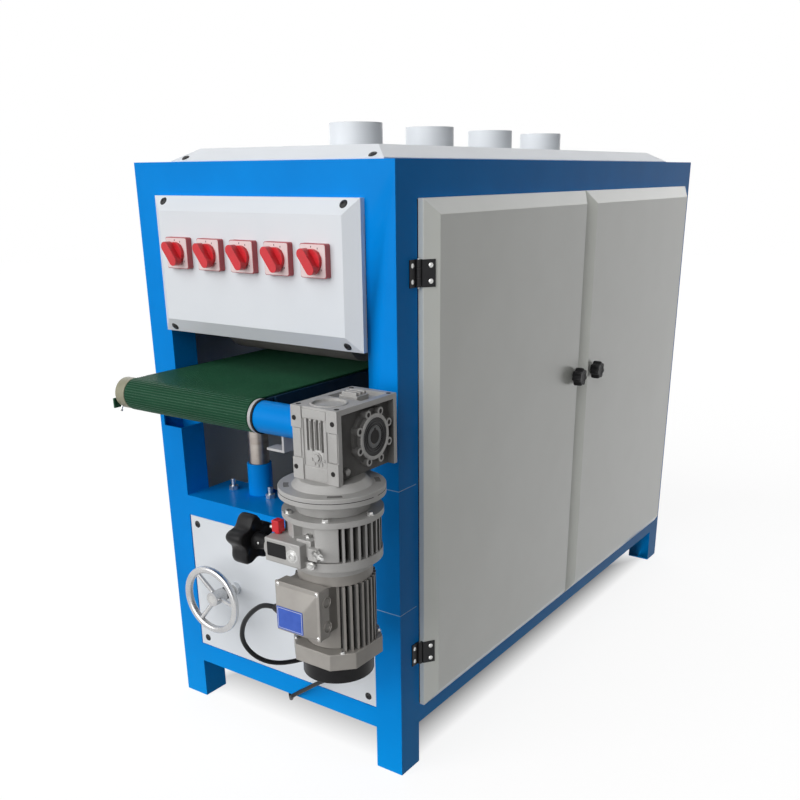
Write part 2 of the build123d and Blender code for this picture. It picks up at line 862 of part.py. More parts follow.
def make_frame_leaf(height):
    inner, outers = knuckle_spans(height)
    z_range = (height - hinge_height / 2, height + hinge_height / 2)
    leaf_y = (hinge_axis[1] - hinge_frame_leaf_width, hinge_axis[1])
    leaf = block((half_width, half_width + hinge_leaf_thickness), leaf_y, z_range)
    relief_z = (inner[0] - face_clearance, inner[1] + face_clearance)
    leaf -= rod_z(hinge_axis, hinge_knuckle_radius + face_clearance, relief_z)
    for span in outers:
        leaf += rod_z(hinge_axis, hinge_knuckle_radius, span)
    return leaf - rod_z(hinge_axis, hinge_pin_radius + shaft_clearance, z_range)


def make_door_leaf(height):
    inner, outers = knuckle_spans(height)
    z_range = (height - hinge_height / 2, height + hinge_height / 2)
    lip_top = door_base + pan_lip
    leaf_y = (door_edge - hinge_leaf_thickness, door_edge)
    slant = math.hypot(pan_bevel, pan_depth - pan_lip)
    rise = (pan_depth - pan_lip) / slant
    run = pan_bevel / slant
    corner = (lip_top, door_edge)
    bevel_end = (lip_top + hinge_door_leaf_width * rise, door_edge + hinge_door_leaf_width * run)
    outer_end = (bevel_end[0] + hinge_leaf_thickness * run, bevel_end[1] - hinge_leaf_thickness * rise)
    outer_corner = (lip_top, leaf_y[0])
    strip = make_face(Polyline(corner, bevel_end, outer_end, outer_corner, close=True))
    leaf = Pos(0, 0, z_range[0]) * extrude(strip, hinge_height)
    leaf += block((hinge_axis[0] - hinge_knuckle_radius, lip_top), leaf_y, z_range)
    for span in outers:
        relief_z = (span[0] - face_clearance, span[1] + face_clearance)
        leaf -= rod_z(hinge_axis, hinge_knuckle_radius + face_clearance, relief_z)
    leaf += rod_z(hinge_axis, hinge_knuckle_radius, inner)
    return leaf - rod_z(hinge_axis, hinge_pin_radius + shaft_clearance, z_range)


def make_front_hinge_pins():
    reach = hinge_height / 2 + hinge_pin_radius
    return [rod_z(hinge_axis, hinge_pin_radius, (z - reach, z + reach)) for z in hinge_heights]


def make_front_door_knob():
    axis = (knob_y, knob_height)
    latch_back = half_width - stop_bar_thickness - latch_gap
    latch_x = (latch_back - latch_thickness, latch_back)
    hub_x = (door_face + face_clearance, door_face + knob_standoff)
    disc_x = (hub_x[1], hub_x[1] + knob_thickness)
    ring_front = door_face - sheet - face_clearance
    knob = rod_x(axis, knob_core_radius, disc_x)
    for y, z in rim_points(knob_lobe_count, knob_lobe_orbit):
        knob += rod_x((axis[0] + y, axis[1] + z), knob_lobe_radius, disc_x)
    knob += rod_x(axis, knob_hub_radius, hub_x)
    knob += rod_x(axis, knob_spindle_radius, (latch_x[0], hub_x[1]))
    knob += rod_x(axis, retaining_ring_radius, (ring_front - retaining_ring_thickness, ring_front))
    latch_y = (axis[0] - latch_width / 2, axis[0] + latch_width / 2)
    knob += block(latch_x, latch_y, (axis[1] - latch_length, axis[1] + latch_width / 2))
    return [knob]


# Lifting gear

def make_lift_sleeves():
    z_range = (mid_rail_top, mid_rail_top + sleeve_height)
    inner = column_radius + shaft_clearance
    sleeve = rod_z((lift_x, lift_inset), inner + sleeve_wall, z_range)
    sleeve -= rod_z((lift_x, lift_inset), inner, z_range)
    return [sleeve] + mirrored([sleeve])


def make_lift_columns():
    centre = (lift_x, lift_inset)
    column = rod_z(centre, column_radius, (column_bottom, column_top))
    column -= rod_z(centre, column_bore_radius, (column_bottom + column_nut_length, column_top))
    nut_z = (column_bottom, column_bottom + column_nut_length)
    column -= rod_z(centre, lift_screw_radius + shaft_clearance, nut_z)
    return [column] + mirrored([column])


def mitre_gear(phase):
    heel = Plane.XY.offset(mitre_heel) * toothed_face(mitre_teeth, mitre_radii, mitre_tooth_shares, phase)
    shrink = mitre_toe / mitre_heel
    toe_face = toothed_face(mitre_teeth, mitre_radii, mitre_tooth_shares, phase, shrink)
    toe = Plane.XY.offset(mitre_toe) * toe_face
    hub = rod_z((0, 0), mitre_hub_radius, (mitre_heel, mitre_heel + mitre_hub_length))
    return loft([toe, heel], ruled=True) + hub


def make_lift_screw(y):
    centre = (lift_x, y)
    gear = Pos(lift_x, y, lift_shaft_height) * mitre_gear(0)
    hub_top = lift_shaft_height + mitre_heel + mitre_hub_length
    collar_bottom = mid_rail_underside + face_clearance
    screw = rod_z(centre, lift_screw_radius, (hub_top, lift_screw_top))
    screw += rod_z(centre, screw_collar_radius, (collar_bottom, collar_bottom + screw_collar_height))
    return [gear + screw]


def make_lift_shaft():
    half_pitch = 180 / mitre_teeth
    axis = (lift_x, lift_shaft_height)
    shaft = rod_y(axis, lift_shaft_radius, (handwheel_plane, lift_rear + lift_shaft_radius))
    shaft += Pos(*lift_apex) * Rot(-90, 0, 0) * mitre_gear(half_pitch)
    shaft += Pos(lift_x, lift_rear, lift_shaft_height) * Rot(90, 0, 0) * mitre_gear(half_pitch)
    return [shaft]


def make_lift_bearings():
    centre = (lift_x, lift_inset)
    axis = (lift_x, lift_shaft_height)
    x_range = (lift_x - bracket_width / 2, lift_x + bracket_width / 2)
    plate_z = (mid_rail_underside - bracket_thickness, mid_rail_underside)
    leg_front = lift_inset + mitre_heel + mitre_hub_length + face_clearance
    leg_y = (leg_front, leg_front + bracket_thickness)
    bracket = block(x_range, (front_inner, leg_y[1]), plate_z)
    bracket += block(x_range, leg_y, (lift_shaft_height - bracket_leg_below_shaft, plate_z[1]))
    bracket -= rod_z(centre, lift_screw_radius + shaft_clearance, plate_z)
    bracket -= rod_y(axis, lift_shaft_radius + shaft_clearance, leg_y)
    bearing_y = (lower_panel_inset - flange_bearing_depth, lower_panel_inset)
    bearing = rod_y(axis, flange_bearing_radius, bearing_y)
    bearing -= rod_y(axis, lift_shaft_radius + shaft_clearance, bearing_y)
    return [bracket, bearing] + mirrored([bracket])


def make_frame_bolts():
    pieces = []
    bolts_x = lift_x + bolt_side_offset
    for x in (bolts_x - bolt_spacing / 2, bolts_x + bolt_spacing / 2):
        nut = extrude(RegularPolygon(bolt_nut_radius, 6), bolt_nut_height)
        stud = Pos(0, 0, bolt_stud_height / 2) * Cylinder(bolt_stud_radius, bolt_stud_height)
        pieces.append(Pos(x, lift_inset - bolt_forward, mid_rail_top) * (nut + stud))
    return pieces + mirrored(pieces)


def make_handwheel():
    axis = (lift_x, lift_shaft_height)
    hub_y = (handwheel_plane, handwheel_plane + handwheel_hub_depth)
    section = RectangleRounded(2 * handwheel_rim_radius, 2 * handwheel_rim_radius, handwheel_rim_rounding)
    rim_ring = revolve(Plane.XZ * Pos(handwheel_radius, 0) * section, Axis.Z)
    wheel = on_front(lift_x, handwheel_plane, lift_shaft_height) * rim_ring
    wheel += rod_y(axis, handwheel_hub_radius, hub_y)
    for angle in handwheel_spoke_angles:
        across = math.cos(math.radians(angle))
        up = math.sin(math.radians(angle))
        rim_x = lift_x + handwheel_radius * across
        rim_z = lift_shaft_height + handwheel_radius * up
        root = (lift_x, span_middle(hub_y), lift_shaft_height)
        wheel += strut(root, (rim_x, handwheel_plane, rim_z), handwheel_spoke_radius)
    return [wheel - rod_y(axis, lift_shaft_radius + shaft_clearance, hub_y)]


# Conveyor table

def make_conveyor_bed():
    plate_y = (-side_plate_overhang, cabinet_depth + side_plate_overhang)
    plate_z = (side_plate_bottom, conveyor_axis_height + belt_outer_radius - side_plate_below_belt)
    inside = (left_plate[1], right_plate[0])
    slider_top = conveyor_axis_height + belt_inner_radius - slider_drop
    slider_bottom = slider_top - slider_thickness
    slider_y = (front_axis[0] + slider_end_gap, rear_axis_y - slider_end_gap)
    bed = block(left_plate, plate_y, plate_z) + block(right_plate, plate_y, plate_z)
    bed += block(inside, slider_y, (slider_bottom, slider_top))
    tube_span = spread(plate_y, bearing_lug_reach + bed_tube_margin)
    tube_step = (span_length(tube_span) - bed_tube_width) / (bed_tube_count - 1)
    for i in range(bed_tube_count):
        tube_front = tube_span[0] + tube_step * i
        tube_y = (tube_front, tube_front + bed_tube_width)
        bed += box_tube_x(inside, tube_y, (slider_bottom - bed_tube_height, slider_bottom))
    for y in (lift_inset, lift_rear):
        column_y = (y - column_plate_depth / 2, y + column_plate_depth / 2)
        bed += block((left_plate[0], right_plate[1]), column_y, (column_top, side_plate_bottom))
    return [bed]


def make_conveyor_belt():
    plane = Plane(origin=(belt_left, middle_y, conveyor_axis_height), x_dir=(0, 1, 0), z_dir=(1, 0, 0))
    separation = rear_axis_y - front_axis[0]
    loop = SlotCenterToCenter(separation, 2 * belt_outer_radius)
    loop -= SlotCenterToCenter(separation, 2 * belt_inner_radius)
    return [extrude(plane * loop, belt_width)]


def make_drive_roller():
    housing_end = belt_left - end_housing_gap - end_housing_length
    journal_x = (housing_end + end_housing_gap, gearbox_right - end_housing_gap)
    roller = rod_x(front_axis, roller_radius, (belt_left, belt_right))
    return [roller + rod_x(front_axis, journal_radius, journal_x)]


def make_idler_roller():
    axis = (rear_axis_y, conveyor_axis_height)
    housing_end = belt_left - end_housing_gap - end_housing_length
    collar_end = belt_right + end_housing_gap + end_collar_length
    roller = rod_x(axis, roller_radius, (belt_left, belt_right))
    return [roller + rod_x(axis, journal_radius, (housing_end + end_housing_gap, collar_end))]


def make_roller_bearings():
    bore = journal_radius + shaft_clearance
    housing_right = belt_left - end_housing_gap
    housing_x = (housing_right - end_housing_length, housing_right)
    collar_x = (belt_right + end_housing_gap, belt_right + end_housing_gap + end_collar_length)
    lug_y = (front_axis[0], bearing_lug_reach - side_plate_overhang)
    lug_z = (conveyor_axis_height - bearing_lug_height / 2, conveyor_axis_height + bearing_lug_height / 2)
    housing = rod_x(front_axis, end_housing_radius, housing_x)
    housing += block((left_plate[0] - side_plate_thickness, left_plate[0]), lug_y, lug_z)
    housing -= rod_x(front_axis, bore, (housing_x[0] + end_housing_gap, housing_x[1]))
    collar = rod_x(front_axis, end_collar_radius, collar_x)
    collar += block((collar_x[0], right_plate[0]), lug_y, lug_z)
    collar -= rod_x(front_axis, bore, collar_x)
    return [housing, collar] + mirrored([housing, collar])


# Drive unit

def make_drive_tube():
    x_range = (tube_left, gearbox_left)
    leg_left = tube_left + tube_bracket_offset
    leg_x = (leg_left, leg_left + tube_bracket_thickness)
    foot_x = (leg_x[1] - tube_bracket_length, leg_x[1])
    bracket_y = (front_axis[0] - tube_bracket_width / 2, front_axis[0] + tube_bracket_width / 2)
    foot_bottom = conveyor_axis_height - drive_tube_radius - tube_bracket_drop
    tube = rod_x(front_axis, drive_tube_radius, x_range)
    tube += block(leg_x, bracket_y, (foot_bottom, conveyor_axis_height))
    tube += block(foot_x, bracket_y, (foot_bottom, foot_bottom + tube_bracket_thickness))
    return [tube - rod_x(front_axis, drive_tube_radius - drive_tube_wall, x_range)]


def make_gearbox_housing():
    plate_x = (gearbox_left, gearbox_right)
    core_x = (gearbox_left, gearbox_core_right)
    z_range = (gearbox_bottom, gearbox_top)
    plate_front = gearbox_front_y + gearbox_pad_height
    front_plate_y = (plate_front, plate_front + gearbox_face_plate)
    housing = block(core_x, (plate_front, gearbox_back_y), z_range)
    housing += block(plate_x, front_plate_y, z_range)
    housing += block(plate_x, (gearbox_back_y - gearbox_face_plate, gearbox_back_y), z_range)
    top_plate_z = (gearbox_top - gearbox_face_plate, gearbox_top)
    housing += block(plate_x, (plate_front, gearbox_back_y), top_plate_z)
    pad_y = (gearbox_front_y, plate_front)
    for pad_left in (gearbox_left, gearbox_right - gearbox_pad_width):
        for pad_bottom in (gearbox_bottom, gearbox_top - gearbox_pad_length):
            pad_x = (pad_left, pad_left + gearbox_pad_width)
            housing += block(pad_x, pad_y, (pad_bottom, pad_bottom + gearbox_pad_length))
    slot_top = gearbox_top - gearbox_slot_top_margin
    slot_y = (plate_front, plate_front + gearbox_slot_depth)
    for i in range(gearbox_slot_count):
        slot_middle = wheel_middle + gearbox_slot_spacing * (i - (gearbox_slot_count - 1) / 2)
        slot_x = (slot_middle - gearbox_slot_width / 2, slot_middle + gearbox_slot_width / 2)
        housing -= block(slot_x, slot_y, (slot_top - gearbox_slot_length, slot_top))
    recess_z = (gearbox_top - gearbox_top_recess_depth, gearbox_top)
    housing -= rod_z(unit_axis, gearbox_top_recess_radius, recess_z)
    pocket_front = unit_axis[1] + gearbox_top_recess_radius + gearbox_top_pocket_margin
    pocket_y = (pocket_front, gearbox_back_y - gearbox_top_pocket_margin)
    pocket_z = (gearbox_top - gearbox_top_pocket_depth, gearbox_top)
    housing -= block(spread(plate_x, gearbox_top_pocket_margin), pocket_y, pocket_z)
    cavity_left = wheel_middle - wheel_width / 2 - wheel_side_gap
    housing -= rod_x(front_axis, wheel_cavity_radius, (cavity_left, gearbox_core_right))
    housing -= rod_x(front_axis, wheel_shaft_radius + shaft_clearance, core_x)
    housing -= rod_z(unit_axis, worm_cavity_radius, (gearbox_bottom, worm_top + face_clearance))
    journal_top = worm_top + worm_journal_length + 2 * face_clearance
    housing -= rod_z(unit_axis, worm_journal_radius + shaft_clearance, (worm_top, journal_top))
    return [housing, make_gearbox_cover()]


def make_gearbox_cover():
    flange_x = (gearbox_core_right, gearbox_right)
    spigot_x = (wheel_middle + wheel_width / 2 + cover_spigot_gap, gearbox_core_right)
    lobe_orbit = wheel_cavity_radius - cover_lobe_radius / 2
    seat_x = (gearbox_core_right, gearbox_core_right + gearbox_side_recess / 2)
    cover = rod_x(front_axis, cover_flange_radius, flange_x)
    cover += rod_x(front_axis, wheel_cavity_radius + face_clearance, seat_x)
    for y, z in rim_points(cover_lobe_count, lobe_orbit, 180 / cover_lobe_count):
        cover += rod_x((front_axis[0] + y, front_axis[1] + z), cover_lobe_radius, flange_x)
    cover += rod_x(front_axis, wheel_cavity_radius - shaft_clearance, spigot_x)
    return cover - rod_x(front_axis, wheel_shaft_radius + shaft_clearance, (spigot_x[0], flange_x[1]))


def make_worm_wheel():
    pitch_slope = worm_lead / (2 * math.pi * worm_radii[1])
    twist = math.degrees(pitch_slope * wheel_width / wheel_radii[1])
    tooth_to_worm = 270 % (360 / wheel_teeth)
    section = toothed_face(wheel_teeth, wheel_radii, wheel_tooth_shares, tooth_to_worm - twist / 2)
    rim = Solid.extrude_linear_with_rotation(section, (0, 0, 0), (0, 0, wheel_width), twist)
    wheel = Pos(wheel_middle - wheel_width / 2, *front_axis) * Rot(0, 90, 0) * Part(rim.wrapped)
    shaft_x = (gearbox_left + face_clearance, gearbox_right - face_clearance)
    wheel += rod_x(front_axis, wheel_shaft_radius, shaft_x)
    return [wheel - rod_x(front_axis, journal_radius + shaft_clearance, shaft_x)]


def make_worm_shaft():
    turn = 360 * worm_length / worm_lead
    section = toothed_face(worm_starts, worm_radii, worm_tooth_shares, -turn / 2)
    thread = Solid.extrude_linear_with_rotation(section, (0, 0, 0), (0, 0, worm_length), turn)
    disc_bottom = variator_middle + face_clearance / 2
    shaft = Pos(*unit_axis, worm_bottom) * Part(thread.wrapped)
    shaft += rod_z(unit_axis, worm_journal_radius, (worm_top, worm_top + worm_journal_length))
    shaft += rod_z(unit_axis, worm_shaft_radius, (disc_bottom, worm_bottom))
    shaft += rod_z(unit_axis, friction_disc_radius, (disc_bottom, disc_bottom + friction_disc_thickness))
    return [shaft]


def make_drive_flange():
    neck_z = (variator_top, flange_disc_bottom)
    flange = rod_z(unit_axis, drive_flange_radius, (flange_disc_bottom, flange_disc_top))
    cone_foot = drive_flange_cone_radius + drive_flange_cone_height
    flange += cone_z(unit_axis, cone_foot, drive_flange_cone_radius, (flange_disc_top, gearbox_bottom))
    flange += rod_z(unit_axis, drive_flange_neck_radius, neck_z)
    return [flange - rod_z(unit_axis, worm_shaft_radius + shaft_clearance, (variator_top, gearbox_bottom))]


def radial_fins(inner, outer, z_range, skipped_half_angle):
    fins = []
    for i in range(fin_count):
        angle = 360 * i / fin_count
        if abs(angle - 270) >= skipped_half_angle:
            fin = block((inner, outer), (-fin_thickness / 2, fin_thickness / 2), z_range)
            fins.append(Pos(*unit_axis, 0) * Rot(0, 0, angle) * fin)
    return fins


def make_variator_housing():
    cavity_radius = variator_radius - variator_wall
    cavity_z = (step_top + variator_floor, fins_top)
    fin_z = (fins_bottom, fins_top)
    housing = rod_z(unit_axis, variator_disc_radius, (fins_top, variator_top))
    housing += rod_z(unit_axis, variator_radius, fin_z)
    housing += radial_fins(variator_radius - fin_root, variator_fin_radius, fin_z, variator_bare_half_angle)
    housing += rod_z(unit_axis, variator_lip_radius, (step_top, fins_bottom))
    housing += rod_z(unit_axis, variator_step_radius, (variator_bottom, step_top))
    housing -= rod_z(unit_axis, cavity_radius, cavity_z)
    housing -= rod_z(unit_axis, worm_shaft_radius + variator_shaft_gap, (fins_top, variator_top))
    housing -= rod_z(unit_axis, motor_shaft_radius + variator_shaft_gap, (variator_bottom, cavity_z[0]))
    return [housing - block(control_x, control_y, control_z)]


def make_variator_control_box():
    box = block(control_x, control_y, control_z)
    spindle_x = (control_x[0], control_x[0] + control_spindle_depth + face_clearance)
    return [box - rod_x(control_knob_axis, control_spindle_radius + shaft_clearance, spindle_x)]


def make_variator_knob():
    star_x = (control_knob_back - control_knob_thickness, control_knob_back)
    star = rod_x(control_knob_axis, control_knob_radius - control_knob_lobe_radius / 2, star_x)
    for y, z in rim_points(control_knob_lobe_count, control_knob_lobe_orbit, 90):
        lobe_axis = (control_knob_axis[0] + y, control_knob_axis[1] + z)
        star += rod_x(lobe_axis, control_knob_lobe_radius, star_x)
    hub_end = control_x[0] - face_clearance
    star += rod_x(control_knob_axis, control_knob_hub_radius, (control_knob_back, hub_end))
    spindle_x = (hub_end, control_x[0] + control_spindle_depth)
    return [star + rod_x(control_knob_axis, control_spindle_radius, spindle_x)]


def make_motor_housing():
    pad_x = spread(terminal_x, terminal_overlap)
    pad_z = (terminal_z[0] + terminal_overlap, motor_top)
    bore_z = (motor_bottom, motor_top)
    housing = rod_z(unit_axis, motor_radius, bore_z)
    housing += rod_z(unit_axis, motor_flange_radius, (motor_top, variator_bottom))
    housing += radial_fins(motor_radius - fin_root, motor_fin_radius, bore_z, motor_pad_half_angle)
    housing += block(pad_x, (terminal_back, unit_axis[1]), pad_z)
    housing -= rod_z(unit_axis, motor_bore_radius, bore_z)
    bearing_radius = motor_shaft_radius + shaft_clearance
    return [housing - rod_z(unit_axis, bearing_radius, (motor_top, variator_bottom))]


def make_terminal_box():
    lid_base = terminal_front + terminal_lid_depth
    box = block(terminal_x, (lid_base, terminal_back), terminal_z)
    place = on_front(span_middle(terminal_x), lid_base, span_middle(terminal_z))
    foot = Rectangle(terminal_width, terminal_height)
    inset = 2 * terminal_lid_bevel
    crown = Plane.XY.offset(terminal_lid_depth) * Rectangle(terminal_width - inset, terminal_height - inset)
    box += place * loft([foot, crown], ruled=True)
    cavity_x = spread(terminal_x, terminal_wall)
    cavity_z = spread(terminal_z, terminal_wall)
    return [box - block(cavity_x, (lid_base, terminal_back), cavity_z)]


def make_motor_end_shield():
    outline = Rectangle(shield_size, shield_size)
    outline = chamfer(outline.vertices(), shield_chamfer)
    shield = Pos(*unit_axis, shield_bottom) * extrude(outline, shield_height)
    shield -= rod_z(unit_axis, shield_pocket_radius, (shield_bottom + shield_plate, motor_bottom))
    bearing_radius = motor_shaft_radius + shaft_clearance
    return [shield - rod_z(unit_axis, bearing_radius, (shield_bottom, motor_bottom))]


def make_fan_cover():
    floor_top = fan_cover_bottom + fan_cover_wall
    cover = rod_z(unit_axis, fan_cover_radius, (fan_cover_bottom, shield_bottom))
    cover -= rod_z(unit_axis, fan_cover_radius - fan_cover_wall, (floor_top, shield_bottom))
    for i in range(fan_slot_count):
        slot_x = (fan_slot_inner, fan_slot_inner + fan_slot_length)
        slot = block(slot_x, (-fan_slot_width / 2, fan_slot_width / 2), (fan_cover_bottom, floor_top))
        cover -= Pos(*unit_axis, 0) * Rot(0, 0, 360 * i / fan_slot_count) * slot
    return [cover]


def make_motor_rotor():
    fan_z = (fan_cover_bottom + fan_floor_gap, shield_bottom - fan_top_gap)
    disc_top = variator_middle - face_clearance / 2
    core_z = (motor_bottom + rotor_end_gap, motor_top - rotor_end_gap)
    rotor = rod_z(unit_axis, motor_bore_radius - rotor_air_gap, core_z)
    rotor += rod_z(unit_axis, motor_shaft_radius, (fan_z[0], disc_top))
    rotor += rod_z(unit_axis, friction_disc_radius, (disc_top - friction_disc_thickness, disc_top))
    rotor += rod_z(unit_axis, fan_hub_radius, fan_z)
    rotor += rod_z(unit_axis, fan_radius, (fan_z[1] - fan_blade_thickness, fan_z[1]))
    for i in range(fan_blade_count):
        blade_y = (-fan_blade_thickness / 2, fan_blade_thickness / 2)
        blade = block((motor_shaft_radius, fan_radius), blade_y, fan_z)
        rotor += Pos(*unit_axis, 0) * Rot(0, 0, 360 * i / fan_blade_count) * blade
    return [rotor]


# Sanding heads

def make_head_beams():
    beam_z = (beam_bottom, beam_bottom + beam_size)
    cross_front = switch_back + cross_member_gap
    cross_y = (cross_front, cross_front + cross_member_depth)
    cross_z = (beam_bottom, beam_bottom + cross_member_height)
    cross = box_tube_x((-inner_half, inner_half), cross_y, cross_z)
    left = box_tube_y(left_beam, (front_inner, rear_inner), beam_z)
    right = box_tube_y(right_beam, (cross_y[1], cabinet_depth - cross_y[1]), beam_z)
    return [left, right, cross] + mirrored([cross])


def make_bearing_blocks():
    z_range = (roller_axis_z - bearing_block_below_axis, beam_bottom)
    pieces = []
    for y in roller_places:
        y_range = (y - bearing_block_depth / 2, y + bearing_block_depth / 2)
        for beam in (left_beam, right_beam):
            middle = span_middle(beam)
            x_range = (middle - bearing_block_width / 2, middle + bearing_block_width / 2)
            bore = rod_x((y, roller_axis_z), drum_shaft_radius + shaft_clearance, x_range)
            pieces.append(block(x_range, y_range, z_range) - bore)
    return pieces


def make_sanding_motors():
    end_walls = spread(head_motor_x, head_motor_wall)
    pieces = []
    for y in roller_places:
        axis = (y, roller_axis_z)
        flange_x = (right_beam[1], head_motor_x[0])
        flange_y = (y - head_flange_depth / 2, y + head_flange_depth / 2)
        flange_z = (roller_axis_z - head_flange_below_axis, beam_bottom + beam_size)
        motor = rod_x(axis, head_motor_radius, head_motor_x)
        motor += block(flange_x, flange_y, flange_z)
        motor -= rod_x(axis, head_motor_radius - head_motor_wall, end_walls)
        bore = drum_shaft_radius + shaft_clearance
        pieces.append(motor - rod_x(axis, bore, (flange_x[0], head_motor_x[1])))
    return pieces


def make_sanding_roller(y):
    axis = (y, roller_axis_z)
    block_left = span_middle(left_beam) - bearing_block_width / 2
    rotor_x = spread(head_motor_x, head_rotor_inset)
    drum = rod_x(axis, drum_radius, drum_x)
    bore = rod_x(axis, drum_radius - drum_wall, spread(drum_x, drum_end_thickness))
    ring_orbit = (drum_radius - drum_wall + drum_shaft_radius) / 2
    for across, up in rim_points(drum_hole_count, ring_orbit):
        bore += rod_x((y + across, roller_axis_z + up), drum_hole_radius, drum_x)
    drum -= bore
    drum += rod_x(axis, drum_shaft_radius, (block_left, head_motor_x[1]))
    return [drum + rod_x(axis, head_motor_radius - head_motor_wall - head_rotor_gap, rotor_x)]


# Motor cord

def make_cord_gland():
    sleeve_z = (gland_nut_length, gland_nut_length + gland_sleeve_length)
    gland = extrude(RegularPolygon(gland_nut_radius, 6), gland_nut_length)
    gland += rod_z((0, 0), gland_sleeve_radius, sleeve_z)
    gland += cone_z((0, 0), gland_sleeve_radius, gland_tip_radius, (sleeve_z[1], gland_length))
    return [on_left(terminal_x[0], gland_tip.Y, gland_tip.Z) * gland]


def make_rail_grommet():
    flange_z = (floor_gap - grommet_flange_thickness, floor_gap)
    bore_z = (flange_z[0], floor_gap + grommet_neck_height)
    grommet = rod_z(cord_end, grommet_flange_radius, flange_z)
    grommet += rod_z(cord_end, grommet_neck_radius, (floor_gap, bore_z[1]))
    return [grommet - rod_z(cord_end, cord_radius + shaft_clearance, bore_z)]


def cord_corner_radii():
    points = [Vector(*point) for point in cord_route]
    radii = []
    for before, corner, after in zip(points, points[1:], points[2:]):
        turn = (corner - before).get_angle(after - corner)
        shorter = min((corner - before).length, (after - corner).length)
        radii.append(cord_bend_share * shorter / math.tan(math.radians(turn / 2)))
    return radii


def make_motor_cord():
    radii = cord_corner_radii()
    path = FilletPolyline(*cord_route, radius=radii)
    start = Plane(origin=path @ 0, z_dir=path % 0)
    cord = sweep(start * Circle(cord_radius), path=path)
    section = math.pi * cord_radius ** 2
    print("cord radii", " ".join(f"{radius:.0f}" for radius in radii))
    share = cord.volume / section / path.length
    print(f"cord length {path.length:.1f}, volume over section times length {share:.4f}")
    return [cord]


# All the pieces, by the name of their node

nodes = {
    "frame_posts": make_frame_posts(),
    "left_posts": make_left_posts(),
    "frame_rails": make_frame_rails(),
    "switch_panel": make_switch_panel(),
    "lower_front_panel": make_lower_front_panel(),
    "left_side_panels": make_left_side_panels(),
    "rear_panels": make_rear_panels(),
    "top_cover": make_top_cover(),
    "dust_ports": make_dust_ports(),
    "panel_screws": make_panel_screws(),
    "rotary_switches": make_rotary_switches(),
    "front_door": make_front_door(),
    "rear_door": mirrored(make_front_door()),
    "front_door_hinge_leaves": [make_door_leaf(z) for z in hinge_heights],
    "rear_door_hinge_leaves": mirrored([make_door_leaf(z) for z in hinge_heights]),
    "front_door_knob": make_front_door_knob(),
    "rear_door_knob": mirrored(make_front_door_knob()),
    "lift_sleeves": make_lift_sleeves(),
    "lift_columns": make_lift_columns(),
    "lift_screw_front": make_lift_screw(lift_inset),
    "lift_screw_rear": make_lift_screw(lift_rear),
    "lift_shaft": make_lift_shaft(),
    "lift_bearings": make_lift_bearings(),
    "frame_bolts": make_frame_bolts(),
    "handwheel": make_handwheel(),
    "conveyor_bed": make_conveyor_bed(),
    "conveyor_belt": make_conveyor_belt(),
    "drive_roller": make_drive_roller(),
    "idler_roller": make_idler_roller(),
    "roller_bearings": make_roller_bearings(),
    "drive_tube": make_drive_tube(),
    "gearbox_housing": make_gearbox_housing(),
    "worm_wheel": make_worm_wheel(),
    "worm_shaft": make_worm_shaft(),
    "drive_flange": make_drive_flange(),
    "variator_housing": make_variator_housing(),
    "variator_control_box": make_variator_control_box(),
    "variator_knob": make_variator_knob(),
    "motor_housing": make_motor_housing(),
    "terminal_box": make_terminal_box(),
    "motor_end_shield": make_motor_end_shield(),
    "fan_cover": make_fan_cover(),
    "motor_rotor": make_motor_rotor(),
    "head_beams": make_head_beams(),
    "bearing_blocks": make_bearing_blocks(),
    "sanding_motors": make_sanding_motors(),
    "cord_gland": make_cord_gland(),
    "rail_grommet": make_rail_grommet(),
    "motor_cord": make_motor_cord(),
}
frame_leaves = [make_frame_leaf(z) for z in hinge_heights]
front_pins = make_front_hinge_pins()
nodes["hinge_frame_leaves"] = frame_leaves + mirrored(frame_leaves)
nodes["hinge_pins"] = front_pins + mirrored(front_pins)
for number, x in enumerate(switch_places, 1):
    nodes[f"switch_knob_{number}"] = make_switch_knob(x)
for number, y in enumerate(roller_places, 1):
    nodes[f"sanding_roller_{number}"] = make_sanding_roller(y)

# The finished part stands on the middle of its own footprint, measured without the cord.
solids = {name: [solid for piece in pieces for solid in piece.solids()] for name, pieces in nodes.items()}
body = Compound([solid for name in solids if name != "motor_cord" for solid in solids[name]])
box = body.bounding_box()
shift = Vector(-box.center().X, -box.center().Y, -box.min.Z)
print(f"shift {shift.X:.4f} {shift.Y:.4f} {shift.Z:.4f}")
print(f"size {box.size.X:.1f} {box.size.Y:.1f} {box.size.Z:.1f}")

os.makedirs("parts", exist_ok=True)
for name, pieces in solids.items():
    export_step(Compound([solid.moved(Pos(*shift)) for solid in pieces]), f"parts/{name}.step")
print(len(solids), "nodes written")
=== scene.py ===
import math
import bmesh
import bpy
from mathutils import Matrix, Vector


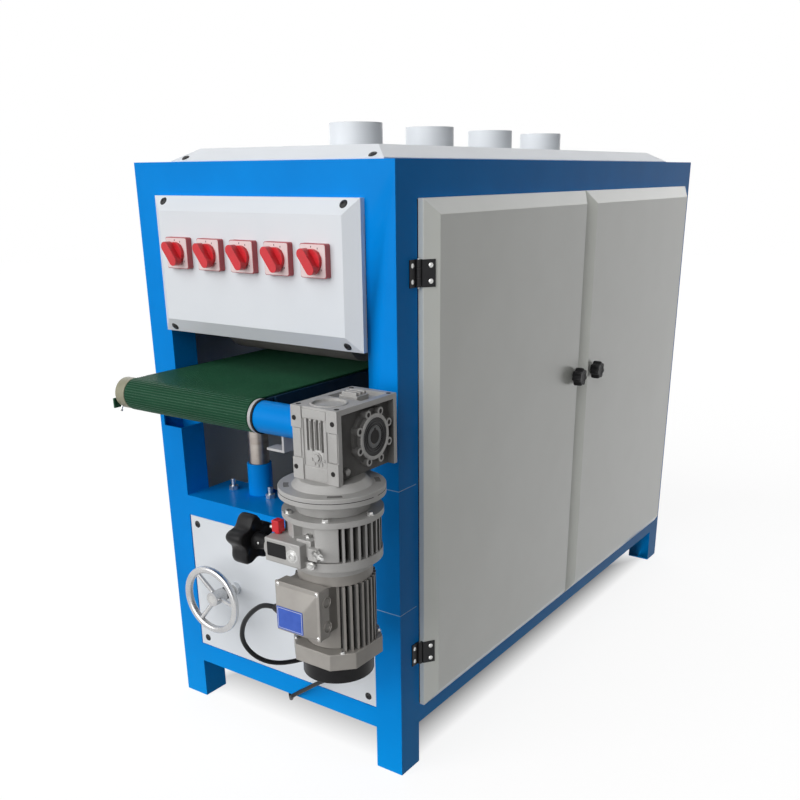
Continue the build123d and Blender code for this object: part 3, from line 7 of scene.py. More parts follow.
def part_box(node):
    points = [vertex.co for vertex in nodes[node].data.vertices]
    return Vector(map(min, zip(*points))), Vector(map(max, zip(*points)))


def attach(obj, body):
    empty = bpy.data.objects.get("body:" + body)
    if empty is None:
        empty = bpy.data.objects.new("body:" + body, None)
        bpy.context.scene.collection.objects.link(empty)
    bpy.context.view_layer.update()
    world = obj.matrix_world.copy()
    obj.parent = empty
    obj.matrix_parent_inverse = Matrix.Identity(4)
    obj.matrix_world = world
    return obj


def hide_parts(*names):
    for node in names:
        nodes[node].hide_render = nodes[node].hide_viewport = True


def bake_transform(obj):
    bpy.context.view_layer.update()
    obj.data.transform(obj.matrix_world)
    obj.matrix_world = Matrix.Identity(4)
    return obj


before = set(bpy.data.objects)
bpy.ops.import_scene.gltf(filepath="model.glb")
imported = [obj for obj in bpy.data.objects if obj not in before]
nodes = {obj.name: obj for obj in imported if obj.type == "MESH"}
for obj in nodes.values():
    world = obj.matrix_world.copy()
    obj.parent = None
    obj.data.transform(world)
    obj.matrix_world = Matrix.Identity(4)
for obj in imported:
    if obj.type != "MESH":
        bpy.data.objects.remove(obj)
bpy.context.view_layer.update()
originShift = Vector((-28.25, -718.9299, 0))  # from the cabinet's own corner to the shared frame, in mm
mm = 0.001
toFrame = Matrix.Scale(mm, 4) @ Matrix.Translation(originShift)
cabinet = {"left": -350, "top": 1315, "depth": 1590}
rollerAxis = (-132, 838)  # y and z of the belt's front roller
unitAxis = (338.5, -196)  # x and y of the drive unit
toRight, toFront, upwards, origin = (1, 0, 0), (0, -1, 0), (0, 0, 1), (0, 0, 0)
sharpFrom = 32  # degrees past which an edge stays sharp


def place(point):
    return toFrame @ Vector(point)


def inMm(point):  # from the shared frame back to the cabinet's millimetres
    return Vector(point) * 1000 - originShift


def newObject(name, data):
    thing = bpy.data.objects.new(name, data)
    bpy.context.scene.collection.objects.link(thing)
    return thing


def adjust(thing, **settings):
    for key, value in settings.items():
        setattr(thing, key, value)
    return thing


def drawnMesh(thing):  # the mesh as its modifiers leave it
    bpy.context.view_layer.update()
    return bpy.data.meshes.new_from_object(thing.evaluated_get(bpy.context.evaluated_depsgraph_get()))


# camera, at the photograph's viewing angle
cameraLook = {
    "place": (1380.667, -1452.476, 1291.042),
    "right": (0.825296, 0.564667, -0.006113),
    "down": (0.195448, -0.295783, -0.935047),
    "forward": (-0.529798, 0.770496, -0.354472),
    "lens": 41.7304, "sensor": 36, "shift": (-0.015, 0.155), "reach": 60,
}


def addCamera(look):
    cameraData = adjust(bpy.data.cameras.new("viewCamera"), sensor_width=look["sensor"], lens=look["lens"],
                        clip_end=look["reach"])
    cameraData.shift_x, cameraData.shift_y = look["shift"]
    camera = newObject("viewCamera", cameraData)
    right, down, forward = (Vector(look[key]) for key in ("right", "down", "forward"))
    turn = Matrix((right, -down, -forward)).transposed().to_4x4()
    camera.matrix_world = Matrix.Translation(place(look["place"])) @ turn
    bpy.context.scene.camera = camera


addCamera(cameraLook)
print("camera set")


# finishes: two clouded tones, fine flecks, painted light that brightens the tone towards the floor, a fine
# grain
grain = {"cloudDetail": 3, "fleckDetail": 2, "noiseRough": 0.55, "cloudSpan": (0.32, 0.68),
         "fleckSpan": (0.3, 0.7), "fleckToneSpan": (0.58, 0.72)}


def addNode(tree, kind, wires=None, **settings):  # wires: a link or a value for each input
    node = adjust(tree.nodes.new(kind), **settings)
    for key, value in (wires or {}).items():
        if isinstance(value, bpy.types.NodeSocket):
            tree.links.new(value, node.inputs[key])
        else:
            node.inputs[key].default_value = value
    return node


def noiseField(tree, vector, scale, detail):
    return addNode(tree, "ShaderNodeTexNoise", {"Vector": vector, "Scale": scale, "Detail": detail,
                                                "Roughness": grain["noiseRough"]}).outputs["Fac"]


def remap(tree, value, fromSpan, toSpan):
    return addNode(tree, "ShaderNodeMapRange", {
        "Value": value, "From Min": fromSpan[0], "From Max": fromSpan[1],
        "To Min": toSpan[0], "To Max": toSpan[1]}).outputs["Result"]


def blendTones(tree, amount, first, second):
    first, second = ((*tone, 1) if isinstance(tone, tuple) else tone for tone in (first, second))
    return addNode(tree, "ShaderNodeMix", {0: amount, 6: first, 7: second}, data_type="RGBA").outputs[2]


def newNodeTree(holder):  # an empty tree on a material or a world
    holder.use_nodes = True
    holder.node_tree.nodes.clear()
    return holder.node_tree


def makeFinish(name, slot, **look):
    finish = bpy.data.materials.new(name)
    tree = newNodeTree(finish)
    coords = addNode(tree, "ShaderNodeTexCoord").outputs["Object"]
    spot = addNode(tree, "ShaderNodeMapping", {
        "Vector": coords, "Scale": look.get("stretch", (1, 1, 1))}).outputs["Vector"]
    cloud = noiseField(tree, spot, look["cloud"], grain["cloudDetail"])
    fleck = noiseField(tree, spot, look["fleck"], grain["fleckDetail"])
    tone = blendTones(tree, remap(tree, cloud, grain["cloudSpan"], (0, 1)), *look["tones"])
    if "fleckTone" in look:
        share = remap(tree, fleck, grain["fleckToneSpan"], (0, look["fleckShare"]))
        tone = blendTones(tree, share, tone, look["fleckTone"])
    # painted light: a lighter tone mixed in towards the floor
    if "dustTone" in look:
        height = addNode(tree, "ShaderNodeSeparateXYZ", {"Vector": coords}).outputs["Z"]
        share = remap(tree, height, (0, look["dustHeight"]), (look["dustShare"], 0))
        tone = blendTones(tree, share, tone, look["dustTone"])
    shader = addNode(tree, "ShaderNodeBsdfPrincipled", {
        "Base Color": tone, "Roughness": remap(tree, fleck, grain["fleckSpan"], look["rough"]),
        "Metallic": look.get("metal", 0), "Specular IOR Level": look.get("specular", 0.5),
        "Coat Weight": look.get("coat", 0), "Coat Roughness": look.get("coatRough", 0.1),
        "Coat IOR": look.get("coatIor", 1.5)})
    if "bump" in look:
        strength, scale, depth = look["bump"]
        bump = addNode(tree, "ShaderNodeBump", {
            "Strength": strength, "Distance": depth,
            "Height": noiseField(tree, spot, scale, grain["fleckDetail"])})
        tree.links.new(bump.outputs["Normal"], shader.inputs["Normal"])
    addNode(tree, "ShaderNodeOutputMaterial", {"Surface": shader.outputs["BSDF"]})
    return finish


# name and slot of its pieces; bump is strength, scale and depth
# the blue is brightened towards the floor as painted light
bluePaint = makeFinish("bluePaint", "blue_paint", tones=((0, 0.245, 0.735), (0, 0.222, 0.68)), cloud=7,
    fleck=420, rough=(0.3, 0.4), specular=0.07, dustTone=(0, 0.35, 0.9), dustHeight=0.3, dustShare=0.55,
    bump=(0.12, 900, 0.0003))
whitePaint = makeFinish("whitePaint", "white_paint", tones=((0.72, 0.75, 0.785), (0.69, 0.72, 0.755)),
    cloud=5, fleck=520, rough=(0.36, 0.5), specular=0.4, bump=(0.1, 1100, 0.0003))
doorPaint = makeFinish("doorPaint", "door_paint", tones=((0.7, 0.715, 0.67), (0.65, 0.663, 0.615)), cloud=4,
    fleck=520, rough=(0.3, 0.42), specular=0.3, coat=1, coatIor=1.7, coatRough=0.28,
    bump=(0.1, 1100, 0.0003))
blackSteel = makeFinish("blackSteel", "black_steel", tones=((0.009, 0.009, 0.01), (0.014, 0.014, 0.015)),
    cloud=40, fleck=900, rough=(0.34, 0.5), specular=0.28, bump=(0.15, 1500, 0.0003))
brightSteel = makeFinish("brightSteel", "bright_steel", tones=((0.62, 0.62, 0.61), (0.54, 0.54, 0.53)),
    cloud=60, fleck=1100, rough=(0.22, 0.36), metal=1, bump=(0.08, 1600, 0.0002))
redPlastic = makeFinish("redPlastic", "red_plastic", tones=((0.62, 0.012, 0.022), (0.55, 0.01, 0.018)),
    cloud=60, fleck=1200, rough=(0.3, 0.42), bump=(0.1, 1900, 0.0002))
switchPlate = makeFinish("switchPlate", "switch_plate", tones=((0.42, 0.07, 0.085), (0.37, 0.06, 0.072)),
    cloud=60, fleck=1200, rough=(0.32, 0.44), bump=(0.1, 1900, 0.0002))
blackPlastic = makeFinish("blackPlastic", "black_plastic",
    tones=((0.008, 0.008, 0.009), (0.012, 0.012, 0.013)), cloud=50, fleck=1300, rough=(0.3, 0.45),
    specular=0.16, bump=(0.15, 1700, 0.0003))
castAluminium = makeFinish("castAluminium", "cast_aluminium",
    tones=((0.45, 0.445, 0.435), (0.385, 0.378, 0.368)), cloud=16, fleck=620, fleckTone=(0.28, 0.27, 0.26),
    fleckShare=0.35, rough=(0.34, 0.52), specular=0.3, metal=0.15, bump=(0.3, 720, 0.0005))
motorPaint = makeFinish("motorPaint", "motor_paint", tones=((0.37, 0.35, 0.325), (0.31, 0.293, 0.272)),
    cloud=18, fleck=700, rough=(0.36, 0.5), specular=0.3, metal=0.1, bump=(0.25, 800, 0.0004))
bronze = makeFinish("bronze", None, tones=((0.45, 0.27, 0.1), (0.38, 0.22, 0.08)), cloud=40, fleck=900,
    rough=(0.25, 0.4), metal=1, bump=(0.1, 1200, 0.0003))
beltRubber = makeFinish("beltRubber", "belt_rubber", tones=((0.011, 0.062, 0.03), (0.008, 0.05, 0.024)),
    cloud=9, fleck=800, fleckTone=(0.022, 0.082, 0.045), fleckShare=0.4, rough=(0.55, 0.75), specular=0.1,
    bump=(0.3, 1100, 0.0005))
olivePaint = makeFinish("olivePaint", "olive_paint", tones=((0.3, 0.29, 0.2), (0.25, 0.24, 0.165)),
    cloud=20, fleck=700, rough=(0.36, 0.5), specular=0.4, bump=(0.12, 1100, 0.0003))
rollerSteel = makeFinish("rollerSteel", "roller_steel", tones=((0.2, 0.194, 0.18), (0.16, 0.154, 0.142)),
    cloud=22, fleck=1500, fleckTone=(0.09, 0.08, 0.066), fleckShare=0.5, rough=(0.6, 0.85),
    bump=(0.45, 2200, 0.0005))
castIron = makeFinish("castIron", "cast_iron", tones=((0.085, 0.088, 0.09), (0.065, 0.067, 0.068)),
    cloud=26, fleck=650, rough=(0.45, 0.65), metal=0.3, bump=(0.35, 800, 0.0005))
cordRubber = makeFinish("cordRubber", "cord_rubber", tones=((0.008, 0.008, 0.009), (0.011, 0.011, 0.012)),
    cloud=60, fleck=1500, rough=(0.36, 0.5), specular=0.15, bump=(0.15, 2000, 0.0002))
switchFace = makeFinish("switchFace", "switch_plate", tones=((0.74, 0.59, 0.59), (0.77, 0.65, 0.645)),
    cloud=30, fleck=900, rough=(0.3, 0.42), specular=0.45, bump=(0.06, 1500, 0.0002))
inkMark = makeFinish("inkMark", "black_plastic", tones=((0.05, 0.045, 0.05), (0.08, 0.07, 0.075)),
    cloud=200, fleck=1500, rough=(0.45, 0.6), specular=0.3)
greyPaint = makeFinish("greyPaint", None, tones=((0.5, 0.5, 0.5), (0.43, 0.43, 0.44)), cloud=20, fleck=700,
    rough=(0.36, 0.5), specular=0.4, bump=(0.12, 1100, 0.0003))
groundSteel = makeFinish("groundSteel", "chrome", tones=((0.39, 0.355, 0.33), (0.3, 0.265, 0.24)), cloud=22,
    stretch=(1, 1, 4), fleck=500, rough=(0.28, 0.42), metal=1, bump=(0.06, 1200, 0.0002))
polishedAluminium = makeFinish("polishedAluminium", "chrome",
    tones=((0.56, 0.56, 0.56), (0.47, 0.47, 0.475)), cloud=30, fleck=800, rough=(0.2, 0.34), metal=1,
    bump=(0.1, 900, 0.0003))
# near black: painted shade in holes, the shaft bore, the flange's rim line and at the fin roots; also the
# seal by the tube
darkRecess = makeFinish("darkRecess", "black_plastic", tones=((0.012, 0.011, 0.011), (0.02, 0.018, 0.018)),
    cloud=80, fleck=1000, rough=(0.6, 0.8), specular=0.2, bump=(0.2, 1200, 0.0004))
blueEnamel = makeFinish("blueEnamel", "motor_paint", tones=((0.022, 0.085, 0.46), (0.035, 0.11, 0.52)),
    cloud=45, fleck=900, rough=(0.28, 0.4), bump=(0.05, 1500, 0.0002))
seamFiller = makeFinish("seamFiller", "blue_paint", tones=((0.34, 0.58, 0.82), (0.2, 0.46, 0.78)), cloud=60,
    fleck=900, rough=(0.4, 0.55), specular=0.3)
# the conveyor bed's blue darkened to navy: painted shade
bedPaintedShade = makeFinish("bedPaintedShade", "blue_paint", tones=((0.003, 0.022, 0.05), (0.002, 0.016, 0.038)),
    cloud=12, fleck=600, rough=(0.36, 0.5), specular=0.2, bump=(0.12, 900, 0.0003))
# darker aluminium: painted shade in the gearbox's side recess, in the flange slots and on the fin sides
castShade = makeFinish("castShade", "cast_aluminium", tones=((0.17, 0.167, 0.162), (0.13, 0.127, 0.122)),
    cloud=30, fleck=500, fleckTone=(0.24, 0.235, 0.23), fleckShare=0.3, rough=(0.5, 0.7), specular=0.2,
    bump=(0.4, 620, 0.0006))
# its light flecks are painted glints
ribRubber = makeFinish("ribRubber", "belt_rubber", tones=((0.014, 0.078, 0.038), (0.011, 0.064, 0.031)),
    cloud=14, fleck=260, fleckTone=(0.1, 0.22, 0.15), fleckShare=0.5, rough=(0.35, 0.55), specular=0.2,
    bump=(0.2, 1100, 0.0004))
print("finishes mixed")

# the motor's cord: straight out of its gland, a loop to the left, under the motor and into the front rail
cordLook = {
    "route": (
        (258, -284, 517), (232, -284, 517), (196, -281, 492), (160, -273, 454), (138, -261, 411),
        (132, -246, 378), (141, -231, 352), (155, -213, 335), (170, -191, 325), (184, -165, 321),
        (199, -138, 321), (218, -113, 318), (239, -92, 309), (256, -77, 292), (263, -66, 267),
        (256, -60, 250), (236, -55, 239), (210, -52, 232), (180, -48, 220), (149, -40, 198),
        (110.5, -28, 168), (75.6, -17, 140.6), (46.4, -9, 118), (30, -8, 105), (10, 12, 80.5),
        (-4, 25.5, 76.5), (-17, 38, 88), (-17, 38, 109)),
    "diameter": 0.010, "length": 0.8645, "order": 3, "roundness": 5,
}


def newLine(name, kind, route):
    curve = bpy.data.curves.new(name, "CURVE")
    curve.dimensions = "3D"
    spline = curve.splines.new(kind)
    spline.points.add(len(route) - 1)
    for point, spot in zip(spline.points, route):
        point.co = (*place(spot), 1)
    return newObject(name, curve), spline


def addCord(look):
    line, spline = newLine("motorCordLine", "NURBS", look["route"])
    adjust(spline, order_u=look["order"], use_endpoint_u=True)
    path = [tuple(vertex.co) for vertex in drawnMesh(line).vertices]
    adjust(line.data, bevel_depth=look["diameter"] / 2, bevel_resolution=look["roundness"],
           use_fill_caps=True)
    mesh = drawnMesh(line)
    bpy.data.objects.remove(line)
    mesh.materials.clear()
    mesh.materials.append(cordRubber)
    mesh.shade_smooth()
    cord = newObject("motorCord", mesh)
    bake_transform(cord)
    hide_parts("motor_cord")


addCord(cordLook)
print("cord laid")


# making a piece
edgeLook = {"segments": 2, "weight": 80}  # roundness of an eased edge, evenness of the large faces


def smoothPiece(name, mesh, finish, sharpAngle=sharpFrom):
    mesh.name = name
    mesh.materials.clear()
    mesh.materials.append(finish)
    mesh.shade_smooth()
    mesh.set_sharp_from_angle(angle=math.radians(sharpAngle))
    return newObject(name, mesh)


def meshFrom(name, work):
    mesh = bpy.data.meshes.new(name)
    work.to_mesh(mesh)
    work.free()
    return mesh


def easeEdges(piece, width, sharpAngle=sharpFrom):
    adjust(piece.modifiers.new("eased", "BEVEL"), width=width * mm, segments=edgeLook["segments"],
           limit_method="ANGLE", angle_limit=math.radians(sharpAngle), harden_normals=True)
    adjust(piece.modifiers.new("flat", "WEIGHTED_NORMAL"), weight=edgeLook["weight"], keep_sharp=True)


def carry(piece, body):
    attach(piece, body)
    return piece


def drawn(shapes, matrix):  # shapes: a drawing function and its settings, in millimetres
    work = bmesh.new()
    for draw, *settings in shapes:
        draw(work, *settings)
    bmesh.ops.transform(work, matrix=matrix, verts=work.verts)
    bmesh.ops.recalc_face_normals(work, faces=work.faces)
    return work


def newPiece(name, finish, body, *shapes, easing=0, sharpAngle=sharpFrom):
    piece = smoothPiece(name, meshFrom(name, drawn(shapes, toFrame)), finish, sharpAngle)
    if easing > 0:
        easeEdges(piece, easing)
    return carry(piece, body)


# drawing into work
def onRing(radius, degrees):
    a = math.radians(degrees)
    return radius * math.cos(a), radius * math.sin(a)


def hexagon(radius):
    return [onRing(radius, 60 * i) for i in range(6)]


def roundedSquare(halfWide, halfHigh, radius, steps=5):
    outline = []
    for sx, sy, start in ((1, 1, 0), (-1, 1, 90), (-1, -1, 180), (1, -1, 270)):
        for i in range(steps + 1):
            u, v = onRing(radius, start + 90 * i / steps)
            outline.append((sx * (halfWide - radius) + u, sy * (halfHigh - radius) + v))
    return outline


def along(centre, axis):  # puts a point given across (u, v) and along (w) the axis
    turn = Matrix.Translation(centre) @ Vector(axis).to_track_quat("Z", "Y").to_matrix().to_4x4()
    return lambda u, v, w: turn @ Vector((u, v, w))


def bridge(work, low, high):  # faces between two rings
    for i in range(len(low)):
        j = (i + 1) % len(low)
        work.faces.new((low[i], low[j], high[j], high[i]))


def addBlock(work, *spans):  # x, y and z from and to
    size = Matrix.Diagonal([high - low for low, high in spans] + [1])
    middle = Matrix.Translation([(low + high) / 2 for low, high in spans])
    bmesh.ops.create_cube(work, size=1, matrix=middle @ size)


def addLathe(work, profile, centre, axis, steps=40, closed=False):  # profile of (radius, height)
    put = along(centre, axis)
    angles = [2 * math.pi * i / steps for i in range(steps)]
    rings = []
    for radius, height in profile:
        if radius < 1e-6:
            rings.append([work.verts.new(put(0, 0, height))])
        else:
            rings.append([work.verts.new(put(radius * math.cos(a), radius * math.sin(a), height))
                          for a in angles])
    for low, high in zip(rings, rings[1:] + rings[:1] if closed else rings[1:]):
        for i in range(steps):
            j = i + 1
            corners = [low[i % len(low)], low[j % len(low)], high[j % len(high)], high[i % len(high)]]
            corners = list(dict.fromkeys(corners))
            if len(corners) > 2:
                work.faces.new(corners)


def addRing(work, profile, centre, axis, steps=40):  # a turned ring, its profile closed
    addLathe(work, profile, centre, axis, steps, closed=True)


def addPrism(work, outline, put, low, high):
    bottom, top = ([work.verts.new(put(u, v, w)) for u, v in outline] for w in (low, high))
    work.faces.new(bottom[::-1])
    work.faces.new(top)
    bridge(work, bottom, top)


def addArc(work, radii, angles, put, span, steps=8):  # a curved bar
    turns = [angles[0] + (angles[1] - angles[0]) * i / steps for i in range(steps + 1)]
    outline = [onRing(radii[1], turn) for turn in turns]
    outline += [onRing(radii[0], turn) for turn in reversed(turns)]
    bottom, top = ([work.verts.new(put(u, v, w)) for u, v in outline] for w in span)
    bridge(work, bottom, top)
    last = len(outline) - 1
    for i in range(steps):
        work.faces.new((top[i], top[i + 1], top[last - 1 - i], top[last - i]))
        work.faces.new((bottom[i + 1], bottom[i], bottom[last - i], bottom[last - 1 - i]))


# Geometry Nodes: trees with named inputs, each ending in real shapes with their finish
def startTree(name, sockets):
    tree = bpy.data.node_groups.new(name, "GeometryNodeTree")
    for label, kind in sockets.items():
        tree.interface.new_socket(label, in_out="INPUT", socket_type="NodeSocket" + kind)
    tree.interface.new_socket("Shapes", in_out="OUTPUT", socket_type="NodeSocketGeometry")
    return tree, addNode(tree, "NodeGroupInput").outputs


def endTree(tree, source, scatter):
    real = addNode(tree, "GeometryNodeRealizeInstances", {"Geometry": scatter.outputs["Instances"]})
    paint = addNode(tree, "GeometryNodeSetMaterial", {
        "Geometry": real.outputs["Geometry"], "Material": source["Finish"]})
    addNode(tree, "NodeGroupOutput", {"Shapes": paint.outputs["Geometry"]})
    return tree


def runTree(holder, tree, settings, name):  # a plain mesh piece from a tree on a holder
    shapes = holder.modifiers.new("shapes", "NODES")
    shapes.node_group = tree
    for socket in tree.interface.items_tree:
        if socket.name in settings:
            shapes[socket.identifier] = settings[socket.name]
    mesh = drawnMesh(holder)
    holder.modifiers.clear()
    bpy.data.objects.remove(holder)
    return smoothPiece(name, mesh, settings["Finish"])


def makeSpotTree():  # one shape on each marked spot, aimed along the spot's own direction
    tree, source = startTree("shapeOnSpots", {"Spots": "Geometry", "Shape": "Object", "Size": "Float",
                                              "Finish": "Material"})
    shape = addNode(tree, "GeometryNodeObjectInfo", {"Object": source["Shape"]}, transform_space="ORIGINAL")
    aim = addNode(tree, "GeometryNodeInputNamedAttribute", {"Name": "aim"}, data_type="FLOAT_VECTOR")
    spin = addNode(tree, "FunctionNodeAlignRotationToVector", {"Vector": aim.outputs["Attribute"]}, axis="Z")
    scatter = addNode(tree, "GeometryNodeInstanceOnPoints", {
        "Points": source["Spots"], "Instance": shape.outputs["Geometry"],
        "Rotation": spin.outputs["Rotation"], "Scale": source["Size"]})
    return endTree(tree, source, scatter)


spotTree = makeSpotTree()


def spotPiece(name, spots, finish, body, *shapes, size=1):  # spots of (place, aim), shapes at the origin
    shape = newObject(name + "Shape", meshFrom(name + "Shape", drawn(shapes, Matrix.Scale(mm, 4))))
    mesh = bpy.data.meshes.new(name)
    mesh.from_pydata([place(spot) for spot, aim in spots], [], [])
    mark = mesh.attributes.new("aim", "FLOAT_VECTOR", "POINT")
    for item, (spot, aim) in zip(mark.data, spots):
        item.vector = aim
    holder = newObject(name + "Spots", mesh)
    piece = runTree(holder, spotTree, {"Shape": shape, "Size": float(size), "Finish": finish}, name)
    bpy.data.objects.remove(shape)
    return carry(piece, body)


def turned(profile, steps):  # a turned shape for spotPiece
    return addLathe, profile, origin, upwards, steps


# copies of CAD nodes with eased edges
joinLook = {"copyGap": 2e-6, "weldGap": 5e-6, "flatAngle": 0.6}  # points in m, faces in degrees


def joinFaces(work, gap):
    bmesh.ops.remove_doubles(work, verts=work.verts, dist=gap)
    bmesh.ops.dissolve_limit(work, angle_limit=math.radians(joinLook["flatAngle"]), verts=work.verts,
                            edges=work.edges)
    return work


def mergedCopy(*nodeNames):
    work = bmesh.new()
    for nodeName in nodeNames:
        work.from_mesh(nodes[nodeName].data)
    for layer in list(work.loops.layers.uv.values()):
        work.loops.layers.uv.remove(layer)
    return joinFaces(work, joinLook["copyGap"])


def dressNode(nodeName, body, finish, easing, sharpAngle=sharpFrom, reshape=None):
    work = mergedCopy(nodeName)
    if reshape:
        reshape(work)
    name = nodeName + "Dressed"
    piece = smoothPiece(name, meshFrom(name, work), finish, sharpAngle)
    easeEdges(piece, easing, sharpAngle)
    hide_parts(nodeName)
    return carry(piece, body)


# welded frame: posts and rails joined, so no seam shows where they meet
frameLook = {"posts": ("frame_posts", "left_posts"), "rails": ("frame_rails",), "easing": 2}


def weldFrame(look):
    posts, rails = (smoothPiece(name, meshFrom(name, mergedCopy(*look[key])), bluePaint)
                    for name, key in (("frameWelded", "posts"), ("railsToWeld", "rails")))
    adjust(posts.modifiers.new("weld", "BOOLEAN"), operation="UNION", solver="EXACT", use_self=True,
           object=rails)
    mesh = drawnMesh(posts)
    for extra in (posts, rails):
        bpy.data.objects.remove(extra)
    work = bmesh.new()
    work.from_mesh(mesh)
    bpy.data.meshes.remove(mesh)
    mesh = meshFrom("frameWelded", joinFaces(work, joinLook["weldGap"]))
    piece = smoothPiece("frameWelded", mesh, bluePaint)
    easeEdges(piece, look["easing"])
    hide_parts("frame_posts", "left_posts", "frame_rails")
    carry(piece, "frame")


weldFrame(frameLook)
print("frame welded")

dressedNodes = {  # node: body, finish, easing in mm, angle of a sharp edge
    "lift_sleeves": ("frame", bluePaint, 1.5),
    "frame_bolts": ("frame", brightSteel, 0.5),
    "switch_panel": ("frame", whitePaint, 0.8),
    "lower_front_panel": ("frame", whitePaint, 0.8),
    "left_side_panels": ("frame", whitePaint, 0.8),
    "rear_panels": ("frame", whitePaint, 0.8),
    "dust_ports": ("frame", whitePaint, 0.7),
    "hinge_frame_leaves": ("frame", blackSteel, 0.6),
    "rotary_switches": ("frame", switchPlate, 1),
    "front_door": ("front_door", doorPaint, 0.8),
    "rear_door": ("rear_door", doorPaint, 0.8),
    "front_door_hinge_leaves": ("front_door", blackSteel, 0.6),
    "rear_door_hinge_leaves": ("rear_door", blackSteel, 0.6),
    "front_door_knob": ("front_door_knob", blackPlastic, 1.2),
    "rear_door_knob": ("rear_door_knob", blackPlastic, 1.2),
    "conveyor_bed": ("table", bedPaintedShade, 1.2),
    "conveyor_belt": ("table", beltRubber, 0.6),
    "lift_columns": ("table", groundSteel, 1),
    "drive_flange": ("table", castAluminium, 1.2),
    "variator_housing": ("table", castAluminium, 0.8),
    "variator_control_box": ("table", castAluminium, 2),
    "motor_housing": ("table", motorPaint, 0.8),
    "motor_end_shield": ("table", motorPaint, 1.6),
    "fan_cover": ("table", blackPlastic, 2),
    "cord_gland": ("table", blackPlastic, 0.5),
    "handwheel": ("handwheel", polishedAluminium, 1.2),
}
for knobName in ("switch_knob_%d" % i for i in range(1, 6)):
    dressedNodes[knobName] = (knobName, redPlastic, 1.4)
for rollerName in ("sanding_roller_%d" % i for i in range(1, 5)):
    dressedNodes[rollerName] = (rollerName, rollerSteel, 0.8)
dressedNodes.update({
    "top_cover": ("frame", whitePaint, 0.9, 20),  # low slopes
    "gearbox_housing": ("table", castAluminium, 2.2),
    "lift_bearings": ("frame", castIron, 0.6),
    "roller_bearings": ("table", olivePaint, 1),
    "drive_tube": ("table", bluePaint, 1),
})
dressed = {nodeName: dressNode(nodeName, *settings) for nodeName, settings in dressedNodes.items()}
print("shells eased:", len(dressed))

innerNodes = {  # working parts that keep their CAD shape
    "head_beams": bluePaint, "hinge_pins": brightSteel, "lift_screw_front": brightSteel,
    "lift_screw_rear": brightSteel, "lift_shaft": brightSteel, "drive_roller": brightSteel,
    "idler_roller": brightSteel, "worm_shaft": brightSteel, "motor_rotor": brightSteel, "worm_wheel": bronze,
    "bearing_blocks": castIron, "sanding_motors": motorPaint, "rail_grommet": cordRubber,
}
for nodeName, finish in innerNodes.items():
    nodes[nodeName].data.materials.clear()
    nodes[nodeName].data.materials.append(finish)
print("working parts finished:", len(innerNodes))

# second finishes: some faces of a shell, chosen by their place in the cabinet's millimetres
repaints = (
    ("gearbox_housing", castShade, lambda spot: 375.5 < spot.x < 389 and spot.y > -234),  # side recess, darkened as painted shade
    ("lift_bearings", whitePaint, lambda spot: spot.y < 2.5),  # front bush
    ("roller_bearings", greyPaint, lambda spot: spot.x > 50),  # collar by the tube
    ("drive_tube", greyPaint, lambda spot: spot.z < 804),  # bracket under the tube
)
finLook = {"bareAngle": 46, "shells": (  # node, root and tip radius, height from and to
    ("variator_housing", 69, 86, 640, 695), ("motor_housing", 62, 74, 440, 565))}


def repaint(nodeName, finish, test):
    mesh = dressed[nodeName].data
    mesh.materials.append(finish)
    for face in mesh.polygons:
        if test(inMm(face.center)):
            face.material_index = len(mesh.materials) - 1


def darkenFins(look):  # painted shade on the shell between the cooling fins and on their sides, so that the tips stand out
    def insideFins(radius, low, high):
        def test(spot):
            across, forward = spot.x - unitAxis[0], unitAxis[1] - spot.y
            fromFront = math.degrees(math.atan2(abs(across), forward))
            inside = math.hypot(across, forward) < radius and low < spot.z < high
            return inside and fromFront > look["bareAngle"]
        return test

    for nodeName, root, tip, low, high in look["shells"]:
        repaint(nodeName, castShade, insideFins(tip, low, high))
        repaint(nodeName, darkRecess, insideFins(root, low, high))


for settings in repaints:
    repaint(*settings)
darkenFins(finLook)
print("second finishes laid")

# roller ends: seal by the tube, the belt's loose flap and its clip on the left
endLook = {
    "tubeStart": 114, "seal": ((30, -2.6), (35.3, -2.6), (35.3, 1.6), (30, 1.6)),
    "flap": ((-304, -299.5), (-166, -147), (807, 829)), "flapEasing": 1,
    "clipAt": (-291, -152, 811), "clipAim": (-0.15, -0.45, -0.88),
    "clip": ((0, -6), (2.6, -6), (2.6, 7), (4.6, 7), (4.6, 11), (3.4, 12), (0, 12)),
}


def addRollerEnds(look):
    newPiece("tubeSeal", darkRecess, "table",
             (addRing, look["seal"], (look["tubeStart"], *rollerAxis), toRight, 56))
    newPiece("endFlap", ribRubber, "table", (addBlock, *look["flap"]), easing=look["flapEasing"])
    newPiece("endClip", brightSteel, "table", (addLathe, look["clip"], look["clipAt"], look["clipAim"], 20))


addRollerEnds(endLook)
print("roller ends dressed")

# belt ribs, laid round the belt's loop by Geometry Nodes
beltLook = {"rearAxis": 1722, "radius": 34, "middle": -81.5, "bendSteps": 32,
            "Pitch": 5.6, "Rib length": 361, "Rib width": 1.9, "Rib height": 1.9}


def makeRibTree(sizes):
    tree, source = startTree("beltRibs", {"Loop": "Geometry", **{name: "Float" for name in sizes},
                                          "Finish": "Material"})
    marks = addNode(tree, "GeometryNodeCurveToPoints", {"Curve": source["Loop"], "Length": source["Pitch"]},
                    mode="LENGTH")
    size = addNode(tree, "ShaderNodeCombineXYZ", {
        "X": source["Rib length"], "Y": source["Rib width"], "Z": source["Rib height"]})
    rib = addNode(tree, "GeometryNodeMeshCube", {"Size": size.outputs["Vector"]})
    spin = addNode(tree, "FunctionNodeAlignRotationToVector", {"Vector": marks.outputs["Tangent"]},
                   axis="Y", pivot_axis="X")
    scatter = addNode(tree, "GeometryNodeInstanceOnPoints", {
        "Points": marks.outputs["Points"], "Instance": rib.outputs["Mesh"],
        "Rotation": spin.outputs["Rotation"]})
    return endTree(tree, source, scatter)


